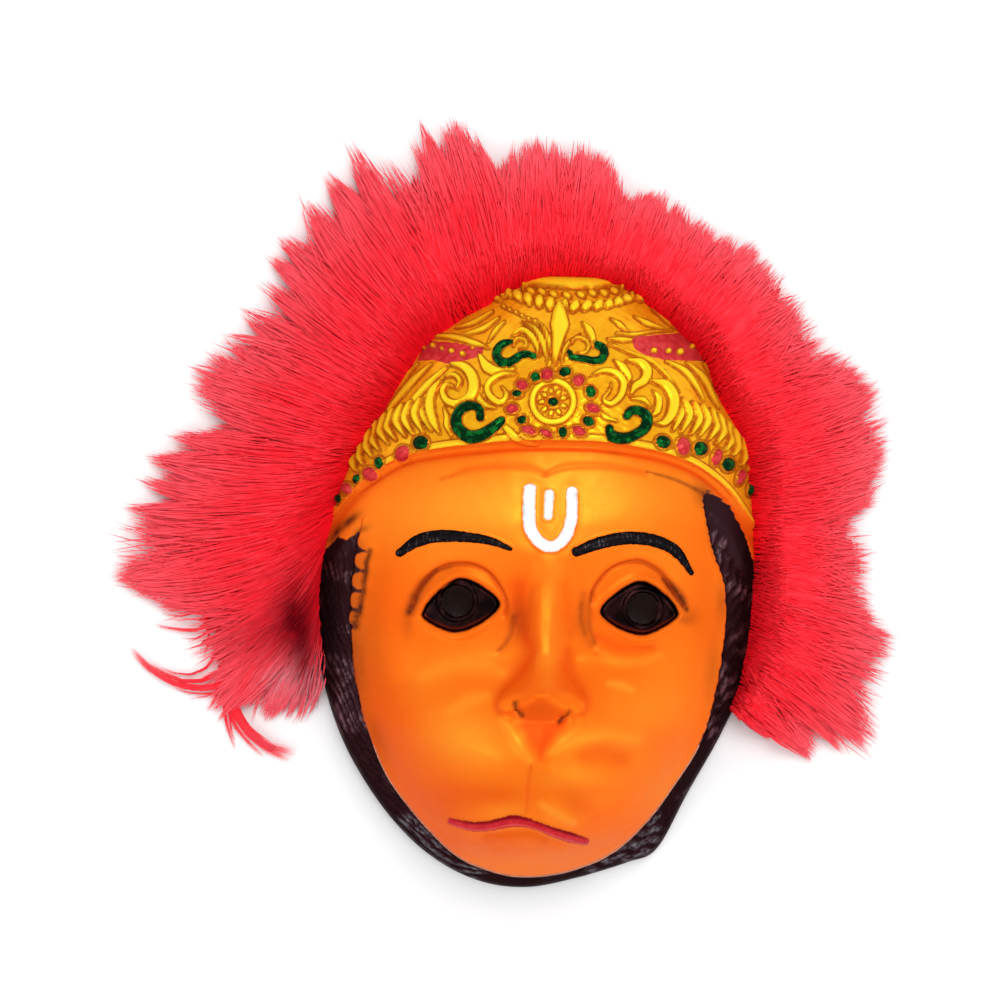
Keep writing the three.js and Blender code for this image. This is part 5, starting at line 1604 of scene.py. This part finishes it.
class Nodes:
    """A material's node tree, with short ways to add what this scene needs."""

    def __init__(self, name):
        self.material = bpy.data.materials.new(name)
        self.material.use_nodes = True
        self.tree = self.material.node_tree
        self.shader = self.tree.nodes["Principled BSDF"]
        self.place = self.tree.nodes.new("ShaderNodeTexCoord").outputs["Object"]

    def link(self, source, target):
        self.tree.links.new(source, target)

    def fill(self, socket, value):
        """Gives a socket another's output, a colour by its name, or a number."""
        if hasattr(value, "is_output"):
            self.link(value, socket)
        elif isinstance(value, str):
            socket.default_value = srgb(*COLOURS[value])
        else:
            socket.default_value = value

    def shade(self, values):
        """Fills the shader's sockets, each by its name."""
        for name, value in values.items():
            self.fill(self.shader.inputs[name], value)

    def attribute(self, name):
        node = self.tree.nodes.new("ShaderNodeAttribute")
        node.attribute_name = name
        return node.outputs["Fac"]

    def maths(self, operation, *values):
        node = self.tree.nodes.new("ShaderNodeMath")
        node.operation = operation
        for socket, value in zip(node.inputs, values):
            self.fill(socket, value)
        return node.outputs[0]

    def times(self, first, second):
        return self.maths("MULTIPLY", first, second)

    def between(self, low, high, value, to_low=0.0, to_high=1.0):
        node = self.tree.nodes.new("ShaderNodeMapRange")
        node.interpolation_type = "SMOOTHSTEP"
        for socket, number in zip(node.inputs[:5], (value, low, high, to_low, to_high)):
            self.fill(socket, number)
        return node.outputs[0]

    def blend(self, share, first, second):
        node = self.tree.nodes.new("ShaderNodeMix")
        node.data_type = "RGBA"
        self.fill(node.inputs[0], share)
        self.fill(node.inputs[6], first)
        self.fill(node.inputs[7], second)
        return node.outputs[2]

    def noise(self, size, detail=3.0, rough=0.5, stretch=None):
        """Noise whose patches are about size millimetres across."""
        node = self.tree.nodes.new("ShaderNodeTexNoise")
        node.inputs["Scale"].default_value = METRE / size
        node.inputs["Detail"].default_value = detail
        node.inputs["Roughness"].default_value = rough
        source = self.place
        if stretch:
            mapping = self.tree.nodes.new("ShaderNodeMapping")
            mapping.inputs["Scale"].default_value = stretch
            self.link(source, mapping.inputs["Vector"])
            source = mapping.outputs["Vector"]
        self.link(source, node.inputs["Vector"])
        return node.outputs["Fac"]

    def bump(self, height, strength, depth):
        node = self.tree.nodes.new("ShaderNodeBump")
        node.inputs["Strength"].default_value = strength
        node.inputs["Distance"].default_value = depth / METRE
        self.link(height, node.inputs["Height"])
        self.link(node.outputs["Normal"], self.shader.inputs["Normal"])


class PaintedPlastic(Nodes):
    """Moulded plastic with its paint: every colour ends where its depth crosses zero."""

    def __init__(self):
        super().__init__("painted_plastic")
        self.wobble = self.between(0.3, 0.7, self.noise(2.2), -0.14, 0.14)
        self.fine = self.noise(3.2, 4.0, 0.6)
        self.hatch = self.noise(0.9, 2.0, 0.5, stretch=(1.0, 0.25, 1.0))
        self.relief = self.attribute("relief")
        self.gold_cover = self.painted("gold", 0.25)
        self.hair_cover = self.painted("hair", 0.5)
        self.brow_cover = self.painted("brow")
        self.eye_cover = self.between(-0.6, 0.4, self.wavy("eye"))
        self.inside = self.between(0.4, 0.6, self.attribute("inside"))

    def wavy(self, name):
        return self.maths("ADD", self.attribute(name), self.wobble)

    def painted(self, name, soft=EDGE_SOFT):
        return self.between(-soft, soft, self.wavy(name))

    def mottled(self, first, second, low=0.4, high=0.6, grain=None):
        """Two shades of one paint, in patches."""
        grain = self.fine if grain is None else grain
        return self.blend(self.between(low, high, grain), first, second)

    def skin(self):
        colour = self.mottled("skin_deep", "skin_light", 0.35, 0.65, self.noise(38, 2.0))
        # Painted highlight, then red-orange paint with painted shade, then painted shade under the
        # nose
        for name, strength in (("painted_highlight", 0.75), ("blush_and_shade", 0.85), ("under_nose_shade", 0.85)):
            colour = self.blend(self.times(self.attribute(name), strength), colour, name)
        uneven = self.between(0.2, 0.7, self.fine, 0.75, 1.05)
        # Dark smudges, with painted shade in the nostrils
        colour = self.blend(self.times(self.attribute("smudge_and_shade"), uneven), colour, "smudge_and_shade")
        # Painted shade in the lids' creases
        lid_crease_shade = self.between(-0.7, 0.5, self.attribute("lid_crease_shade"), 0.0, 0.62)
        return self.blend(lid_crease_shade, colour, "lid_crease_shade")

    def gold(self):
        """Gold with painted highlight on the ornaments' tops, and painted shade in the grooves round
        them.
        """
        groove = self.between(0.75, 0.1, self.maths("ABSOLUTE", self.relief))
        hollow = self.between(-0.1, -0.9, self.relief)
        colour = self.mottled("gold_deep", "gold_light", 0.3, 0.7, self.noise(9, 3.0))
        # Painted highlight on the ornaments' tops
        colour = self.blend(self.between(0.25, 1.1, self.relief), colour, "gold_top_highlight")
        roll = self.between(2.95, 2.3, self.attribute("gold"), 0.0, 0.6)
        colour = self.blend(roll, colour, "gold_roll")
        dull = self.times(hollow, self.between(0.3, 0.6, self.fine, 0.0, 0.4))
        colour = self.blend(dull, colour, "gold_hollow")
        # Painted shade in the grooves round the ornaments
        groove_shade = self.times(groove, self.between(0.3, 0.6, self.fine, 0.6, 0.95))
        return self.blend(groove_shade, colour, "gold_groove_shade")

    def hair(self):
        """Black with brushed paint and painted highlight on the locks' crests, greyer under the chin.
        """
        # The crests' colour: brushed paint with painted highlight, greyer under the chin
        brushed = self.blend(self.attribute("slate_highlight"), "hair_brushed_highlight", "hair_slate_highlight")
        brush_and_highlight = self.times(self.between(0.3, 0.95, self.attribute("lock")),
                               self.between(0.35, 0.65, self.fine))
        return self.blend(brush_and_highlight, "hair", brushed)

    def lips(self):
        side = self.attribute("lip_side")
        colour = self.mottled("lips_deep", "lips_light")
        colour = self.blend(self.between(-0.1, -0.5, side, 0.0, 0.6), colour, "lips_lit")
        colour = self.blend(self.between(-0.65, -0.95, side), colour, "lips_under")
        return self.blend(self.between(0.3, 0.85, side), colour, "lips_dark")

    def eyes(self):
        colour = self.mottled("eye_dark", "eye_brown", 0.4, 0.65, self.noise(7, 2.0))
        return self.blend(self.times(self.attribute("eye_rim"), 0.8), colour, "eye_rim")

    def colour(self):
        """The paints in the order in which they lie over the skin, and the bare inside."""
        # A painted glint along the jaw's edge
        jaw_edge_glint = self.between(-0.55, -0.15, self.attribute("jaw_edge_glint"))
        bare = self.mottled("bare_deep", "bare_light", 0.35, 0.65, self.noise(14, 3.0))
        brow = self.mottled("brow", "brow_worn", 0.55, 0.75, self.hatch)
        paints = (
            (self.gold_cover, self.gold()),
            (self.hair_cover, self.hair()),
            (jaw_edge_glint, "jaw_edge_glint"),
            (self.painted("green"), self.mottled("green_deep", "green_light", 0.45, 0.62)),
            (self.painted("red"), self.mottled("red_deep", "red_light")),
            (self.painted("white", 0.2), self.mottled("white", "white_worn", 0.45, 0.75)),
            (self.brow_cover, brow),
            (self.painted("lips", 0.25), self.lips()),
            (self.eye_cover, self.eyes()),
            (self.inside, bare),
        )
        colour = self.skin()
        for cover, paint in paints:
            colour = self.blend(cover, colour, paint)
        return colour

    def roughness(self):
        rough = self.between(0.3, 0.7, self.noise(6, 3.0), 0.36, 0.46)
        for name, edge, share in (("gold", 0.1, 0.72), ("green", 0.2, 0.6), ("eye", 0.2, 0.5)):
            rough = self.times(rough, self.between(-edge, edge, self.attribute(name), 1.0, share))
        return self.maths("ADD", rough, self.between(0.4, 0.6, self.inside, 0.0, 0.2))

    def metallic(self):
        """Gold paint, the skin's pearl, and the lacquer of eyes, brows and hair."""
        gold = self.times(self.gold_cover, self.between(0.2, 0.4, self.noise(1.1), 0.2, 0.35))
        lacquer = self.maths("MAXIMUM", self.brow_cover, self.hair_cover)
        lacquer = self.times(self.maths("MAXIMUM", self.eye_cover, lacquer), LACQUER)
        return self.maths("MAXIMUM", self.maths("MAXIMUM", gold, SKIN_PEARL), lacquer)

    def grain(self):
        """Fine relief: the ornaments' edges, the brows' hairs and the plastic's skin."""
        carved = self.between(0.0, 0.5, self.maths("ABSOLUTE", self.relief))
        hairs = self.times(self.hatch, self.between(0.0, 0.4, self.attribute("brow")))
        skin = self.times(self.noise(1.6, 4.0, 0.6), 0.12)
        return self.maths("ADD", self.maths("ADD", carved, hairs), skin)


def shell_material():
    n = PaintedPlastic()
    n.shade({"Base Color": n.colour(), "Roughness": n.roughness(), "Metallic": n.metallic(),
             "Specular IOR Level": SHELL_SPECULAR, "Specular Tint": (*DARK_EDGE, 1.0)})
    n.bump(n.grain(), 0.8, 0.3)
    return n.material


def fur_material():
    """Long acrylic pile: painted shade at the root and in the lower layers, and pinker tips painted
    paler as light shining through them.
    """
    n = Nodes("acrylic_pile")
    tone, along, layer = (n.attribute(name) for name in ("tone", "along", "layer"))
    patches = n.noise(4, 0.0)
    colour = n.blend(tone, "fur", "fur_light")
    # Painted shade at the root
    colour = n.blend(n.between(0.0, 0.4, along), "fur_root", colour)
    # Tips painted paler, as light shining through them
    colour = n.blend(n.between(0.45, 1.0, along, 0.0, 0.6), colour, "fur_tip_lit_through")
    # Painted shade in the pile's lower layers
    colour = n.blend(n.between(0.0, 0.45, layer, 0.3, 0.0), colour, "fur_deep_shade")
    streaks = n.between(0.25, 0.75, tone, 0.35, 1.0)
    # Hair painted pale where it is thin, as light shining through it
    colour = n.blend(n.times(n.attribute("lit_through"), streaks), colour, "fur_lit_through")
    colour = n.blend(n.attribute("shaded"), colour, "fur_shaded")
    colour = n.blend(n.between(0.55, 0.75, patches, 0.0, 0.2), colour, "fur_streak")
    n.shade({"Base Color": colour, "Roughness": n.between(0.3, 0.7, patches, 0.5, 0.62),
             "Specular IOR Level": 0.0})
    n.bump(patches, 0.3, 0.2)
    return n.material


def floor_material():
    n = Nodes("pale_floor")
    grain = n.between(0.3, 0.7, n.noise(60, 0.0))
    n.shade({"Base Color": n.blend(grain, "floor_deep", "floor_light"), "Roughness": 0.8,
             "Specular IOR Level": 0.0})
    return n.material


# The floor, the lights and the camera, in metres and watts
FLOOR_SIZE = 8.0
LIGHTS = {
    "key_light": {"at": (0.25, 0.75, 1.7), "size": 1.1, "watts": 16.5},
    "fill_light": {"at": (-1.2, -0.8, 1.3), "size": 1.4, "watts": 7},
    "rim_light": {"at": (1.3, -0.9, 1.2), "size": 1.2, "watts": 6},
}
LIT_PLACE = (0.0, 0.0, 0.03)
SKY_STRENGTH = 0.63
CLIP_END = 20


def make_floor():
    bpy.ops.mesh.primitive_plane_add(size=FLOOR_SIZE, location=(0, 0, 0))
    floor = bpy.context.object
    floor.name = "floor"
    floor.data.materials.append(floor_material())


def place_in_scene(name, data, at):
    made = bpy.data.objects.new(name, data)
    bpy.context.scene.collection.objects.link(made)
    made.location = at
    return made


def soft_light(name, at, size, watts):
    light = bpy.data.lights.new(name, "AREA")
    light.shape = "DISK"
    light.size = size
    light.energy = watts
    lamp = place_in_scene(name, light, at)
    toward = Vector(LIT_PLACE) - Vector(at)
    lamp.rotation_euler = toward.to_track_quat("-Z", "Y").to_euler()


def make_lights():
    for name, light in LIGHTS.items():
        soft_light(name, **light)
    world = bpy.data.worlds.new("studio")
    world.use_nodes = True
    background = world.node_tree.nodes["Background"]
    background.inputs["Color"].default_value = (1.0, 1.0, 1.0, 1.0)
    background.inputs["Strength"].default_value = SKY_STRENGTH
    bpy.context.scene.world = world


def keep_true_colours():
    """The picture shows each colour as its material gives it."""
    bpy.context.scene.view_settings.view_transform = "Standard"


def make_camera():
    camera = bpy.data.cameras.new("camera")
    camera.sensor_width = SENSOR
    camera.lens = SENSOR * CAMERA_HEIGHT / PICTURE_WIDTH
    camera.clip_end = CLIP_END
    bpy.context.scene.camera = place_in_scene("camera", camera, to_row((0, 0, CAMERA_HEIGHT)))


shell = shell_mesh()
shell.data.materials.append(shell_material())
cut_eye_holes(shell)
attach(shell, "root")
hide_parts("mask_shell")
pile = fur_material()
for piece in make_fur():
    piece.data.materials.append(pile)
    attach(piece, "root")
    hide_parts("fur_trim")
make_floor()
make_lights()
make_camera()
keep_true_colours()
